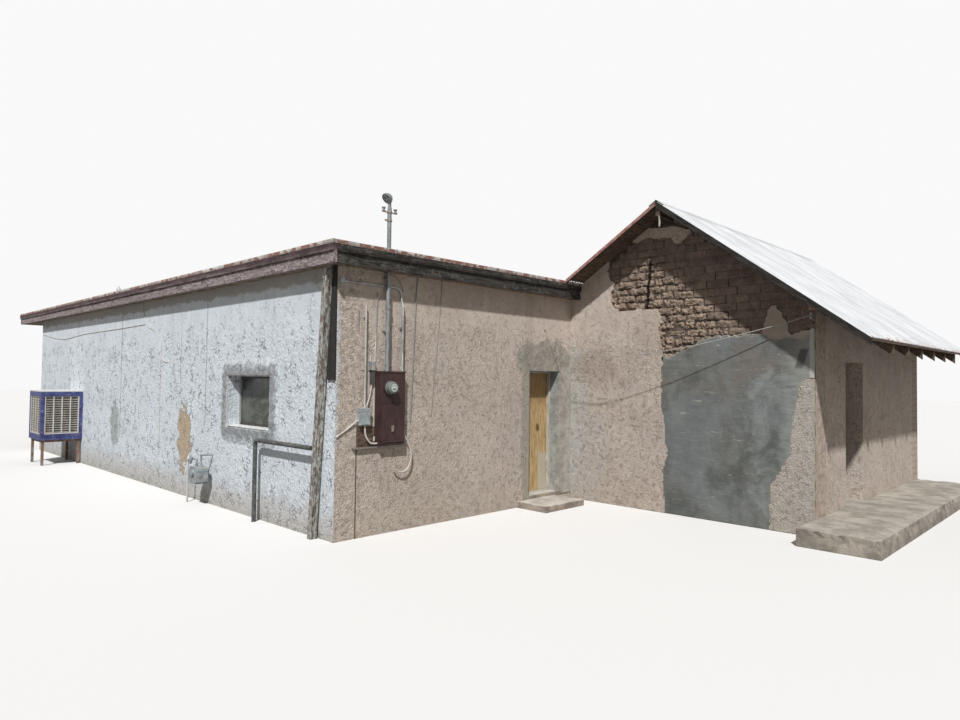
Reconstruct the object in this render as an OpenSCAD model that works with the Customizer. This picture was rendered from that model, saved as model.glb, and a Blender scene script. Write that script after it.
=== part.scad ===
// Adobe house: a long flat-roofed wing of stuccoed adobe and a gabled adobe wing
// with a corrugated metal roof, joined along one shared wall.
// The near outer corner of the flat wing is the working zero; house() moves the
// whole to the middle of its own box, with the ground at Z = 0.

/* [Flat wing] */
// Length of the white street wall
white_wall_l = 14000; // [10000:100:18000]
// Length of the recessed bay beyond the white wall
recess_l = 1300; // [800:50:2500]
// Depth of the recess behind the white wall's face
recess_d = 1200; // [600:50:2000]
// Width of the end wall, from the outer corner to the gabled wing
end_wall_w = 4800; // [4400:50:6000]
// Depth of the flat wing from front to back
wing_d = 7200; // [6400:100:7800]
// Height of the flat wing's walls
wall_h = 3440; // [3100:10:3800]
// Thickness of every adobe wall
wall_t = 400; // [300:10:500]
// Height of the long wing's floor above the ground
wing_floor_z = 150; // [120:10:250]
// Height of the gabled wing's floor and of the porch above the ground
floor_z = 230; // [150:10:300]

/* [Gabled wing] */
// Width of the gabled wing
gable_w = 4000; // [3600:50:4600]
// Length of the gabled wing
gable_l = 5600; // [5000:100:8000]
// Distance of the ridge from the shared wall
ridge_x = 1900; // [1600:20:2300]
// Height of the ridge
ridge_z = 4760; // [4500:10:5200]
// Pitch of the east slope in degrees
east_pitch = 36.6; // [30:0.1:38]
// Reach of the east eave past the wall
east_reach = 810; // [400:10:900]
// Reach of the roof past both gable walls
rake_reach = 470; // [250:10:600]
// Reach of the west eave past the wall, behind the flat wing
west_reach = 200; // [100:10:400]
// Thickness of the plaster coats on the gable wall
coat_t = 30; // [15:1:50]

/* [Flat roof] */
// Reach of the eaves all round
eave = 200; // [120:10:300]
// Height of the roof beams
beam_h = 190; // [140:5:240]
// Width of a roof beam
beam_w = 150; // [80:5:200]
// Distance between beams
beam_step = 1200; // [800:50:1800]
// Thickness of the roof boards
deck_t = 50; // [30:1:60]
// Thickness of the rolled roofing
cover_t = 15; // [8:1:25]
// Depth of the roofing's turned-down edge
drip_h = 35; // [20:1:60]
// Thickness of the roofing's turned-down edge
drip_t = 3; // [2:0.5:8]
// Height of the fascia
fascia_h = 265; // [255:1:320]
// Thickness of the fascia's backing board
fascia_t = 40; // [25:1:50]
// Height of the trim board on the fascia
trim_h = 120; // [80:1:160]
// Thickness of the trim board on the fascia
trim_t = 22; // [12:1:30]
// Thickness of the soffit boards
soffit_t = 18; // [10:1:20]

/* [Gable roof] */
// Distance from one corrugation to the next
wave_step = 76; // [60:1:130]
// Depth of the corrugations, sheet included
wave_h = 20; // [14:1:26]
// Thickness of the sheet
sheet_t = 2; // [1:0.5:4]
// Thickness of the boards under the sheets
board_t = 25; // [18:1:30]
// Height of the rafters
rafter_h = 140; // [90:5:160]
// Width of the rafters
rafter_w = 45; // [35:1:75]
// Distance between rafters
rafter_step = 800; // [500:50:1200]
// Height of the ridge board
ridge_board_h = 190; // [150:5:230]
// Thickness of the ridge board
ridge_board_t = 40; // [30:1:60]
// Height of the rake boards
rake_h = 170; // [120:5:220]
// Thickness of the rake boards
rake_t = 30; // [20:1:45]
// Width of each wing of the ridge cap
cap_w = 150; // [100:5:250]

/* [Front door] */
// Distance of the door opening from the outer corner
door_y = 3670; // [3000:10:3700]
// Width of the door opening
door_w = 800; // [700:10:900]
// Height of the door opening's head above the ground
door_head = 2190; // [2050:10:2400]
// Thickness of the door frame
frame_t = 40; // [30:1:50]
// Depth of the door frame
frame_d = 100; // [70:5:130]
// Thickness of the door leaf
leaf_t = 44; // [35:1:50]
// Depth of bare wall behind the door leaf
leaf_back = 110; // [60:10:150]
// Gap around the door leaf
leaf_gap = 6; // [5:0.5:10]
// Radius of a hinge knuckle
knuckle_r = 8; // [6:0.5:10]
// Radius of a hinge pin
pin_r = 4; // [3:0.5:5]
// Height of the doorstep
step_h = 100; // [60:5:150]
// Reach of the doorstep
step_reach = 600; // [400:10:800]
// Length of the doorstep
step_w = 980; // [800:10:1100]

/* [East doorway] */
// Distance of the doorway behind the gable wall's face
east_door_y = 1260; // [900:10:1400]
// Width of the doorway
east_door_w = 850; // [750:10:950]
// Height of the doorway's head above the ground
east_door_head = 2350; // [2150:10:2450]
// Width of the porch slab
porch_w = 950; // [850:10:1200]
// Reach of the porch slab in front of the gable wall
porch_reach = 700; // [400:10:900]

/* [Gable skins] */
// Height of the render left on the gable's lower part
render_top = 3140; // [2900:10:3300]
// Height of the cement coat on the gable
cement_top = 2700; // [2300:10:2800]
// Width of the render left beside the shared wall
render_w = 1780; // [1500:10:1850]
// Width of the render left at the gable's outer corner
corner_render_w = 600; // [400:10:800]

/* [Window] */
// Distance of the window from the outer corner
window_x = 1620; // [1200:10:2500]
// Width of the window opening
window_w = 1300; // [900:10:1500]
// Height of the window's sill above the ground
window_sill = 1270; // [1000:10:1500]
// Height of the window opening
window_h = 760; // [600:10:1000]
// Width of the window frame's bars
sash_w = 32; // [25:1:60]
// Thickness of the window frame
sash_t = 50; // [35:1:70]
// Thickness of the glass
glass_t = 5; // [4:0.5:8]
// Width of the cement band round the window
band_w = 180; // [100:5:250]
// Height of the cement band above the door opening
head_band = 60; // [20:5:200]
// Thickness of the cement bands round the window and the front door
band_t = 14; // [8:1:25]
// Thickness of the window's sill
sill_t = 18; // [12:1:30]
// Reach of the window's sill past the wall
sill_reach = 25; // [15:1:50]

/* [Electrical service] */
// Distance of the mast from the outer corner
mast_y = 740; // [500:10:1200]
// Distance of the mast from the wall's face
mast_x = 62; // [55:1:90]
// Radius of the mast
mast_r = 28; // [20:1:32]
// Height of the mast above the ground
mast_top = 4380; // [4100:10:4600]
// Distance of the meter cabinet's middle behind the mast
panel_shift = 70; // [0:5:120]
// Width of the meter cabinet
panel_w = 420; // [380:10:520]
// Height of the meter cabinet
panel_h = 960; // [700:10:1100]
// Depth of the meter cabinet
panel_d = 100; // [90:5:160]
// Height of the meter cabinet's foot above the ground
panel_z = 1160; // [1000:10:1300]
// Radius of the glass meter
meter_r = 85; // [70:1:95]
// Distance of the meter in front of the cabinet's middle
meter_shift = 60; // [0:5:80]
// Distance of the meter's middle below the cabinet's top
meter_drop = 215; // [160:5:300]
// Distance of the disconnect box from the outer corner
box_y = 322; // [250:5:340]
// Width of the disconnect box
box_w = 155; // [120:5:180]
// Height of the disconnect box
box_h = 210; // [160:5:260]
// Depth of the disconnect box
box_d = 80; // [60:5:110]
// Height of the disconnect box above the ground
box_z = 1430; // [1350:10:1600]
// Radius of the conduits
conduit_r = 13; // [8:1:15]
// Height of the conduit that runs along the wall
run_z = 3235; // [3150:5:3280]
// Radius of the conduits' bends
bend_r = 110; // [80:5:140]

/* [Pipe and gas meter] */
// Radius of the black pipe
pipe_r = 30; // [20:1:40]
// Distance of the pipe's riser from the outer corner
pipe_x = 1800; // [1500:10:2400]
// Height of the pipe above the ground
pipe_z = 1140; // [900:10:1250]
// Distance of the pipe from the wall's face
pipe_out = 120; // [80:5:160]
// Distance of the gas meter from the outer corner
gas_x = 3350; // [3200:10:3600]
// Distance of the gas meter's middle from the wall's face
gas_out = 190; // [150:5:260]
// Width of the gas meter
gas_w = 270; // [220:5:300]
// Depth of the gas meter
gas_d = 190; // [150:5:220]
// Height of the gas meter's body
gas_h = 260; // [220:5:320]
// Height of the gas meter's foot above the ground
gas_z = 350; // [250:10:450]

/* [Corner timbers] */
// Width of the leaning post
post_w = 88; // [60:1:120]
// Distance of the post's foot from the outer corner
post_foot = 330; // [150:10:500]
// Distance of the post's head from the outer corner
post_head = 70; // [40:5:120]
// Width of the dark corner board
corner_board_w = 160; // [100:5:200]
// Height of the corner board's foot above the ground
corner_board_z = 2000; // [1600:10:2400]
// Thickness of the corner board
corner_board_t = 25; // [15:1:40]

/* [Cooler] */
// Distance of the cooler's near side from the outer corner
cooler_x = 10260; // [8000:10:12000]
// Length of the cooler along the wall
cooler_l = 1000; // [800:10:1200]
// Depth of the cooler
cooler_d = 830; // [700:10:950]
// Height of the cooler
cooler_h = 1100; // [900:10:1250]
// Height of the cooler's foot above the ground
cooler_z = 560; // [400:10:800]
// Width of the cooler's corner posts
cooler_post = 75; // [50:5:100]
// Height of the cooler's top and bottom bands
cooler_band = 130; // [90:5:160]
// Number of louvre columns on the cooler's broad faces
louvre_columns = 4; // [3:1:5]
// Distance from one louvre slat to the next
louvre_step = 52; // [45:1:80]
// Width of the bars between the louvre columns
louvre_bar = 24; // [16:1:32]

/* [Hidden] */
$fn = 48;
eps = 1;
over = 10;

// Levels of the flat roof
deck_bottom = wall_h + beam_h;
deck_top = deck_bottom + deck_t;
roof_top = deck_top + cover_t;

// Faces of the walls, from the near outer corner
west_x = -(white_wall_l + recess_l);
gable_face = end_wall_w + coat_t;
gable_back = gable_face + gable_l;
wing_back_edge = wing_d + eave;
roof_front = end_wall_w - rake_reach;
roof_back = gable_back + rake_reach;

// Slopes of the gable roof, measured at the crests of the sheets
east_tan = tan(east_pitch);
landing_x = eave - over;
landing_z = roof_top + wave_h * 1.2;
west_pitch = atan((ridge_z - landing_z) / (ridge_x - landing_x));
west_tan = tan(west_pitch);
east_eave_x = gable_w + east_reach;
west_eave_x = -wall_t - west_reach;
board_landing_x = landing_x + board_t / sin(west_pitch) + over;
seat = 0.3;
under_sheet = wave_h + seat;
under_boards = under_sheet + board_t;
under_seat = under_boards + seat;
under_rafters = under_seat + rafter_h;

// Door leaf and its hinge line
leaf_x = -wall_t + leaf_back;
pivot_x = leaf_x - knuckle_r - 2;
pivot_y = door_y + door_w - frame_t - leaf_gap / 2;
leaf_y0 = door_y + frame_t + leaf_gap;
leaf_y1 = door_y + door_w - frame_t - leaf_gap;
threshold_h = 20;
leaf_z0 = wing_floor_z + threshold_h + leaf_gap;
leaf_z1 = door_head - frame_t - leaf_gap;
hinge_l = 100;
hinge_plate_w = 55;
hinge_plate_t = 3;
hinge_zs = [leaf_z0 + 200, (leaf_z0 + leaf_z1) / 2, leaf_z1 - 200];
pin_gap = 0.2;
knob_z = wing_floor_z + 1030;
knob_inset = 65;

// Cable strung from the insulator at the gable's corner to the end wall: at each fraction
// of the way, its drop below the straight line
cable_r = 6;
insulator = [gable_w - 22, end_wall_w - 60, crest_z(gable_w) - 308];
cable_start = insulator + [-23, -3, 38];
cable_end = [18, door_y + 392, wall_h - 588];
cable_drops = [
    [0, 0], [0.014, 17], [0.065, 77], [0.141, 147], [0.217, 213], [0.293, 277],
    [0.37, 335], [0.446, 385], [0.522, 423], [0.598, 451], [0.674, 469],
    [0.738, 460], [0.789, 418], [0.839, 347], [0.89, 257], [0.941, 151],
    [0.977, 62], [1, 0]
];
cable_route = [for (p = cable_drops)
    cable_start + (cable_end - cable_start) * p[0] - [0, 0, p[1] * gable_w / 4000]];

// Middle of the whole, seen from above
x_low = west_x - eave - trim_t - drip_t;
x_high = max(east_eave_x, gable_w + porch_w);
y_low = -cooler_d;
y_high = roof_back;
middle = [(x_low + x_high) / 2, (y_low + y_high) / 2, 0];

module house() {
    translate(-middle) children();
}

// A block given by its low and high corners
module block(low, high) {
    translate(low) cube(high - low);
}

// Height of the roof's crest line at a distance x from the shared wall
function crest_z(x) = x > ridge_x ? ridge_z - (x - ridge_x) * east_tan : ridge_z - (ridge_x - x) * west_tan;
// Vertical drop for a depth measured square to the slope
function drop(x, depth) = depth / cos(x > ridge_x ? east_pitch : west_pitch);
function under_z(x, depth) = crest_z(x) - drop(x, depth);

// A profile in X and Z, drawn out from y0 to y1
module along_y(points, y0, y1) {
    translate([0, y1, 0]) rotate([90, 0, 0]) linear_extrude(y1 - y0) polygon(points);
}

// A layer of one slope, plumb at both ends
module slope_layer(x0, x1, top, bottom, y0, y1) {
    mid = (x0 + x1) / 2;
    along_y([
        [x0, crest_z(x0) - drop(mid, top)],
        [x1, crest_z(x1) - drop(mid, top)],
        [x1, crest_z(x1) - drop(mid, bottom)],
        [x0, crest_z(x0) - drop(mid, bottom)]
    ], y0, y1);
}

// Outline of a gable wall, up to the underside of the roof boards
function gable_outline(x0) = [
    [x0, 0], [gable_w, 0], [gable_w, under_z(gable_w, under_seat)],
    [ridge_x, ridge_z - drop(ridge_x + 1, under_seat)],
    [ridge_x, ridge_z - drop(ridge_x - 1, under_seat)],
    [x0, under_z(x0, under_seat)]
];

// Walls of the flat wing
module window_hole(grow = 0) {
    block([-window_x - window_w - grow, -over, window_sill - grow],
        [-window_x + grow, wall_t + over, window_sill + window_h + grow]);
}

module front_wall() {
    color("gainsboro") house() difference() {
        block([-white_wall_l, 0, 0], [0, wall_t, wall_h]);
        window_hole();
    }
}

module recess_side_wall() {
    color("gray") house()
        block([-white_wall_l, wall_t, 0], [-white_wall_l + wall_t, recess_d + wall_t, wall_h]);
}

module recess_wall() {
    color("gray") house()
        block([west_x, recess_d, 0], [-white_wall_l, recess_d + wall_t, wall_h]);
}

module far_end_wall() {
    color("gainsboro") house()
        block([west_x, recess_d + wall_t, 0], [west_x + wall_t, wing_d, wall_h]);
}

module back_wall() {
    color("gainsboro") house()
        block([west_x + wall_t, wing_d - wall_t, 0], [-wall_t, wing_d, wall_h]);
}

module end_wall_pier() {
    color("rosybrown") house()
        block([-wall_t, wall_t, 0], [0, door_y, wall_h]);
}

module end_wall_lintel() {
    color("rosybrown") house()
        block([-wall_t, door_y, door_head], [0, door_y + door_w, wall_h]);
}

module corner_pier() {
    color("rosybrown") house()
        block([-wall_t, door_y + door_w, 0], [0, gable_face + wall_t, wall_h]);
}

module shared_wall() {
    color("tan") house() difference() {
        union() {
            block([-wall_t, gable_face + wall_t, 0], [0, wing_d, wall_h]);
            along_y([
                [-wall_t, 0], [0, 0], [0, under_z(0, under_seat)],
                [-wall_t, under_z(-wall_t, under_seat)]
            ], wing_d, gable_back - wall_t);
        }
        rafters(seat);
        block([-wall_t - over, wing_d - eps, deck_top - fascia_h],
            [over, wing_back_edge + trim_t + over, roof_top]);
    }
}

// Walls of the gabled wing
module roof_notch() {
    block([-over, 0, deck_bottom], [eave + over, wing_back_edge + over, roof_top + over]);
}

module ridge_board_blank() {
    half = ridge_board_t / 2;
    along_y([
        [ridge_x - half, under_z(ridge_x - half, under_seat)],
        [ridge_x, ridge_z - drop(ridge_x - 1, under_seat)],
        [ridge_x, ridge_z - drop(ridge_x + 1, under_seat)],
        [ridge_x + half, under_z(ridge_x + half, under_seat)],
        [ridge_x + half, ridge_z - ridge_board_h - under_seat],
        [ridge_x - half, ridge_z - ridge_board_h - under_seat]
    ], roof_front + rake_t, roof_back - rake_t);
}

module gable_wall() {
    color("saddlebrown") house() difference() {
        along_y(gable_outline(0), gable_face, gable_face + wall_t);
        ridge_board_blank();
        roof_notch();
    }
}

module gable_back_wall() {
    color("saddlebrown") house() difference() {
        along_y(gable_outline(-wall_t), gable_back - wall_t, gable_back);
        ridge_board_blank();
    }
}

module east_wall_piece(y0, y1, z0) {
    difference() {
        along_y([
            [gable_w - wall_t, z0], [gable_w, z0],
            [gable_w, under_z(gable_w, under_seat)],
            [gable_w - wall_t, under_z(gable_w - wall_t, under_seat)]
        ], y0, y1);
        rafters(seat);
    }
}
east_y0 = gable_face + east_door_y;
east_y1 = east_y0 + east_door_w;

module east_wall_near() {
    color("rosybrown") house() east_wall_piece(gable_face + wall_t, east_y0, 0);
}

module east_wall_lintel() {
    color("rosybrown") house() east_wall_piece(east_y0, east_y1, east_door_head);
}

module east_wall_far() {
    color("rosybrown") house() east_wall_piece(east_y1, gable_back - wall_t, 0);
}

// Plaster coats on the gable wall, drawn as seen from the front
module coat(points) {
    difference() {
        intersection() {
            along_y(points, end_wall_w, gable_face);
            along_y(gable_outline(0), end_wall_w, gable_face);
        }
        roof_notch();
        ridge_board_blank();
        bracket_blank(seat);
    }
}

// Ragged edges of the coats, each from the size that sets its place
render_edge = [
    [render_w, cement_top - 260], [render_w - 90, render_top - 310], [render_w - 80, render_top - 30],
    [render_w - 380, render_top + 15], [render_w - 660, render_top], [render_w - 870, render_top + 50],
    [render_w - 930, render_top + 260], [render_w - 970, render_top + 470],
    [render_w - 1020, render_top + 620],
    [render_w - 960, render_top + 840], [render_w - 1080, render_top + 1060], [0, render_top + 1060]
];
corner_x = gable_w - corner_render_w;
corner_edge = [
    [corner_x, 0], [corner_x + 20, 640], [corner_x + 120, 800], [corner_x + 280, 1060],
    [corner_x + 320, 1500], [gable_w - 200, 1950], [gable_w - 160, 2080], [gable_w, 2080]
];
cement_edge = [
    [gable_w, cement_top + 40], [gable_w - 100, cement_top + 60], [gable_w - 300, cement_top],
    [gable_w - 370, cement_top + 200], [gable_w - 430, cement_top + 330], [gable_w - 500, cement_top + 410],
    [gable_w - 560, cement_top + 400], [gable_w - 640, cement_top + 260], [gable_w - 700, cement_top + 60],
    [gable_w - 710, cement_top + 20], [gable_w - 1100, cement_top], [render_w + 680, cement_top - 20],
    [render_w + 360, cement_top - 160], [render_w + 100, cement_top - 300]
];
ridge_edge = [
    [-760, -450], [-700, -390], [-570, -345], [-280, -325], [80, -322], [280, -330],
    [310, -440], [230, -500], [160, -550], [80, -490], [-300, -480], [-600, -510], [-700, -500]
];

module gable_stucco() {
    color("rosybrown") house() {
        coat(concat([[0, 0], [render_w, 0]], render_edge));
        coat(concat(corner_edge, [[gable_w, 0]]));
    }
}

module gable_cement() {
    color("darkgray") house() coat(concat(
        [[render_w, 0]], corner_edge, cement_edge, [render_edge[0]]
    ));
}

module ridge_plaster() {
    color("tan") house() coat([for (p = ridge_edge) [ridge_x + p[0], ridge_z + p[1]]]);
}

// Smooth cement round the front door: a lining of the reveal and a band out to the gabled wing
module door_surround() {
    y1 = door_y + door_w;
    color("darkgray") house() union() {
        difference() {
            block([leaf_x + frame_d, door_y, wing_floor_z], [0, y1, door_head]);
            block([leaf_x + frame_d - eps, door_y + band_t, wing_floor_z - eps],
                [eps, y1 - band_t, door_head - band_t]);
        }
        block([0, y1 - band_t, max(wing_floor_z, step_h + over)], [band_t, end_wall_w, door_head + head_band]);
        block([0, y1, step_h + over], [band_t, end_wall_w, door_head]);
    }
}

// Cement band with round corners, and a sill, at the window
module window_surround() {
    x0 = -window_x - window_w;
    z1 = window_sill + window_h;
    round_r = band_w * 0.6;
    color("lightgray") house() union() {
        difference() {
            union() {
                block([x0 - band_w + round_r, -band_t, window_sill - band_w],
                    [-window_x + band_w - round_r, 0, z1 + band_w]);
                block([x0 - band_w, -band_t, window_sill - band_w + round_r],
                    [-window_x + band_w, 0, z1 + band_w - round_r]);
                for (x = [x0 - band_w + round_r, -window_x + band_w - round_r])
                    for (z = [window_sill - band_w + round_r, z1 + band_w - round_r])
                        translate([x, 0, z]) rotate([90, 0, 0]) cylinder(r = round_r, h = band_t);
            }
            block([x0, -band_t - over, window_sill], [-window_x, over, z1]);
        }
        block([x0, -sill_reach, window_sill], [-window_x, window_in, window_sill + sill_t]);
    }
}
window_in = 220;

// Floors and slabs
module wing_floor() {
    color("darkgray") house() union() {
        block([west_x + wall_t, recess_d + wall_t, 0], [-wall_t, wing_d - wall_t, wing_floor_z]);
        block([-white_wall_l + wall_t, wall_t, 0], [-wall_t, recess_d + wall_t + eps, wing_floor_z]);
        block([-wall_t - eps, door_y, 0], [0, door_y + door_w, wing_floor_z]);
    }
}

module gable_floor() {
    color("darkgray") house() union() {
        block([0, gable_face + wall_t, 0], [gable_w - wall_t, gable_back - wall_t, floor_z]);
        block([gable_w - wall_t - eps, east_y0, 0], [gable_w, east_y1, floor_z]);
    }
}

module door_step() {
    color("silver") house()
        block([0, door_y + door_w - step_w - 90, 0], [step_reach, door_y + door_w - 90, step_h]);
}

module porch_slab() {
    color("silver") house()
        block([gable_w, end_wall_w - porch_reach, 0], [gable_w + porch_w, gable_back, floor_z]);
}

// Flat roof
module mast_hole(z0, z1) {
    translate([mast_x, mast_y, z0]) cylinder(r = mast_r + 1, h = z1 - z0);
}
first_beam = -wall_t + 20;
beam_count = floor((white_wall_l + recess_l - wall_t - 20 - beam_w) / beam_step) + 1;

module roof_beams() {
    color("peru") house() for (i = [0:beam_count - 1])
        block([first_beam - i * beam_step, -eave + fascia_t, wall_h],
            [first_beam - i * beam_step + beam_w, wing_back_edge - fascia_t, deck_bottom]);
}

module roof_deck() {
    color("peru") house() difference() {
        block([west_x - eave + fascia_t, -eave + fascia_t, deck_bottom],
            [eave - fascia_t, wing_back_edge - fascia_t, deck_top]);
        mast_hole(deck_bottom - over, deck_top + over);
    }
}

module roof_covering() {
    out = trim_t + drip_t;
    color("whitesmoke") house() difference() {
        union() {
            block([west_x - eave - out, -eave - out, deck_top], [eave + out, end_wall_w, roof_top]);
            block([west_x - eave - out, end_wall_w - eps, deck_top], [eave, wing_back_edge + out, roof_top]);
            block([west_x - eave - out, -eave - out, deck_top - drip_h],
                [west_x - eave - trim_t, wing_back_edge + out, deck_top + eps]);
            block([west_x - eave - out, -eave - out, deck_top - drip_h],
                [eave + out, -eave - trim_t, deck_top + eps]);
            block([eave + trim_t, -eave - out, deck_top - drip_h], [eave + out, end_wall_w, deck_top + eps]);
            block([west_x - eave - out, wing_back_edge + trim_t, deck_top - drip_h],
                [eave, wing_back_edge + out, deck_top + eps]);
        }
        mast_hole(deck_bottom - over, roof_top + over);
    }
}

module eave_soffit() {
    inner = -eave + fascia_t;
    color("peru") house() difference() {
        union() {
            block([west_x + inner, inner, wall_h - soffit_t], [-inner, 0, wall_h]);
            block([0, -eps, wall_h - soffit_t], [-inner, end_wall_w, wall_h]);
            block([west_x + inner, -eps, wall_h - soffit_t], [west_x, wing_back_edge - fascia_t, wall_h]);
            block([west_x - eps, wing_d, wall_h - soffit_t], [-wall_t, wing_back_edge - fascia_t, wall_h]);
            block([west_x - eps, -eps, wall_h - soffit_t], [-white_wall_l, recess_d, wall_h]);
        }
        mast_hole(wall_h - soffit_t - over, wall_h + over);
    }
}

// Section of the fascia: a backing board with a trim board over its top edge
function fascia_section() = [
    [0, deck_top - fascia_h], [fascia_t, deck_top - fascia_h], [fascia_t, deck_top - trim_h],
    [fascia_t + trim_t, deck_top - trim_h], [fascia_t + trim_t, deck_top], [0, deck_top]
];

// Fascia along X with its face towards -Y
module fascia_x(x0, x1) {
    translate([x0, -eave + fascia_t, 0]) rotate([90, 0, 90]) linear_extrude(x1 - x0)
        polygon([for (p = fascia_section()) [-p[0], p[1]]]);
}

module fascia_front() {
    color("brown") house() fascia_x(west_x - eave - trim_t, eave + trim_t);
}

module fascia_end() {
    color("tan") house()
        translate([eave - fascia_t, end_wall_w, 0]) rotate([90, 0, 0])
        linear_extrude(end_wall_w + eave - fascia_t) polygon(fascia_section());
}

module fascia_back() {
    color("brown") house() union() {
        translate([west_x - eave + fascia_t, -eave + fascia_t, 0]) rotate([90, 0, 180])
            linear_extrude(wing_back_edge + eave - fascia_t + trim_t) polygon(fascia_section());
        translate([0, wing_d, 0]) mirror([0, 1, 0]) fascia_x(west_x - eave - trim_t, 0);
    }
}

// Gable roof
rafter_ys = [for (y = [gable_face + wall_t + 200:rafter_step:gable_back - wall_t - 200]) y];

// The rafters, or with a gap all round them the pockets that hold them
module rafters(gap = 0) {
    half = ridge_board_t / 2;
    top = under_seat - gap;
    bottom = under_rafters + gap;
    for (y = rafter_ys) {
        on_wing = y < wing_back_edge + over;
        west_x0 = on_wing ? -wall_t / 2 - gap : west_eave_x + 40;
        slope_layer(ridge_x + half, east_eave_x - 40, top, bottom, y - gap, y + rafter_w + gap);
        difference() {
            slope_layer(west_x0, ridge_x - half, top, bottom, y - gap, y + rafter_w + gap);
            if (on_wing) block([-wall_t, y - over, deck_bottom], [eave, y + rafter_w + over, ridge_z]);
        }
    }
}

module gable_rafters() {
    color("sienna") house() rafters();
}

module ridge_board() {
    color("sienna") house() ridge_board_blank();
}

module roof_boards_east() {
    color("sienna") house()
        slope_layer(ridge_x, east_eave_x - 15, under_sheet, under_boards,
            roof_front + rake_t, roof_back - rake_t);
}

module roof_boards_west() {
    color("sienna") house() union() {
        slope_layer(board_landing_x, ridge_x, under_sheet, under_boards,
            roof_front + rake_t, wing_back_edge + over + trim_t);
        slope_layer(west_eave_x + 15, ridge_x, under_sheet, under_boards,
            wing_back_edge + over + trim_t - eps, roof_back - rake_t);
    }
}

// Section of a corrugated sheet, one wave as four flats
function waves(length, low) = [for (y = [0:wave_step:length - wave_step])
    for (p = [[0.1, 0], [0.4, 1], [0.6, 1], [0.9, 0]])
        [y + p[0] * wave_step, low + p[1] * (wave_h - sheet_t)]];

module corrugated(length, run) {
    top = waves(length, sheet_t);
    bottom = waves(length, 0);
    rotate([90, 0, 90]) linear_extrude(run)
        polygon(concat(top, [for (i = [len(bottom) - 1:-1:0]) bottom[i]]));
}
ridge_gap = 30;

module roof_sheet_east() {
    run = (east_eave_x - ridge_x) / cos(east_pitch) - ridge_gap;
    color("whitesmoke") house()
        translate([ridge_x, roof_front, ridge_z]) rotate([0, east_pitch, 0])
        translate([ridge_gap, 0, -wave_h]) corrugated(roof_back - roof_front, run);
}

module roof_sheet_west() {
    split_y = roof_front + wave_step * ceil((wing_back_edge + over + trim_t - roof_front) / wave_step);
    run_front = (ridge_x - landing_x) / cos(west_pitch) - ridge_gap;
    run_back = (ridge_x - west_eave_x) / cos(west_pitch) - ridge_gap;
    color("whitesmoke") house()
        translate([ridge_x, 0, ridge_z]) rotate([0, -west_pitch, 0])
        translate([0, 0, -wave_h]) {
            translate([-run_front - ridge_gap, roof_front, 0]) corrugated(split_y - roof_front, run_front);
            translate([-run_back - ridge_gap, split_y, 0]) corrugated(roof_back - split_y, run_back);
        }
}

module ridge_cap() {
    cap_z = ridge_z + seat;
    color("silver") house() along_y([
        [ridge_x - cap_w * cos(west_pitch), cap_z - cap_w * sin(west_pitch)],
        [ridge_x, cap_z],
        [ridge_x + cap_w * cos(east_pitch), cap_z - cap_w * sin(east_pitch)],
        [ridge_x + cap_w * cos(east_pitch), cap_z - cap_w * sin(east_pitch) + sheet_t],
        [ridge_x, cap_z + sheet_t],
        [ridge_x - cap_w * cos(west_pitch), cap_z - cap_w * sin(west_pitch) + sheet_t]
    ], roof_front, roof_back);
}

module rake_pair(y0) {
    deep = under_sheet + rake_h;
    along_y([
        [west_eave_x, under_z(west_eave_x, under_sheet)],
        [ridge_x, ridge_z - drop(ridge_x - 1, under_sheet)],
        [ridge_x, ridge_z - drop(ridge_x + 1, under_sheet)],
        [east_eave_x - 15, under_z(east_eave_x - 15, under_sheet)],
        [east_eave_x - 15, under_z(east_eave_x - 15, deep)],
        [ridge_x, ridge_z - drop(ridge_x + 1, deep)],
        [ridge_x, ridge_z - drop(ridge_x - 1, deep)],
        [west_eave_x, under_z(west_eave_x, deep)]
    ], y0, y0 + rake_t);
}

module rake_boards() {
    color("brown") house() {
        difference() {
            rake_pair(roof_front);
            block([west_eave_x - over, roof_front - over, 0],
                [landing_x, roof_front + over + rake_t, ridge_z]);
            block([west_eave_x, roof_front - over, 0],
                [eave + trim_t + over, roof_front + over + rake_t, roof_top]);
        }
        rake_pair(roof_back - rake_t);
    }
}

// Front door
module door_frame() {
    y1 = door_y + door_w;
    stop_t = 12;
    color("burlywood") house() difference() {
        block([leaf_x, door_y, wing_floor_z], [leaf_x + frame_d, y1, door_head]);
        block([leaf_x - eps, door_y + frame_t, wing_floor_z + threshold_h],
            [leaf_x + leaf_t + leaf_gap, y1 - frame_t, door_head - frame_t]);
        block([leaf_x, door_y + frame_t + stop_t, wing_floor_z + threshold_h],
            [leaf_x + frame_d + eps, y1 - frame_t - stop_t, door_head - frame_t - stop_t]);
    }
}

module door_leaf() {
    color("goldenrod") house()
        block([leaf_x, leaf_y0, leaf_z0], [leaf_x + leaf_t, leaf_y1, leaf_z1]);
}

module door_knob() {
    color("gray") house() translate([leaf_x + leaf_t, leaf_y0 + knob_inset, knob_z]) rotate([0, 90, 0])
        rotate_extrude() polygon([
            [0, 0], [26, 0], [26, 5], [10, 8], [10, 24], [24, 34], [26, 44], [18, 54], [0, 56]
        ]);
}

// One hinge, in plan about its pin: side -1 is the leaf's half, side 1 the frame's
module hinge_half(side, z0, z1) {
    tab = knuckle_r + 2;
    translate([pivot_x, pivot_y, 0]) difference() {
        union() {
            translate([0, 0, z0]) cylinder(r = knuckle_r, h = z1 - z0);
            translate([tab - hinge_plate_t, side > 0 ? 0 : -tab - eps, z0])
                cube([hinge_plate_t, tab + eps, z1 - z0]);
        }
        translate([0, 0, z0 - over]) cylinder(r = pin_r + pin_gap, h = z1 - z0 + 2 * over);
    }
}

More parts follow.
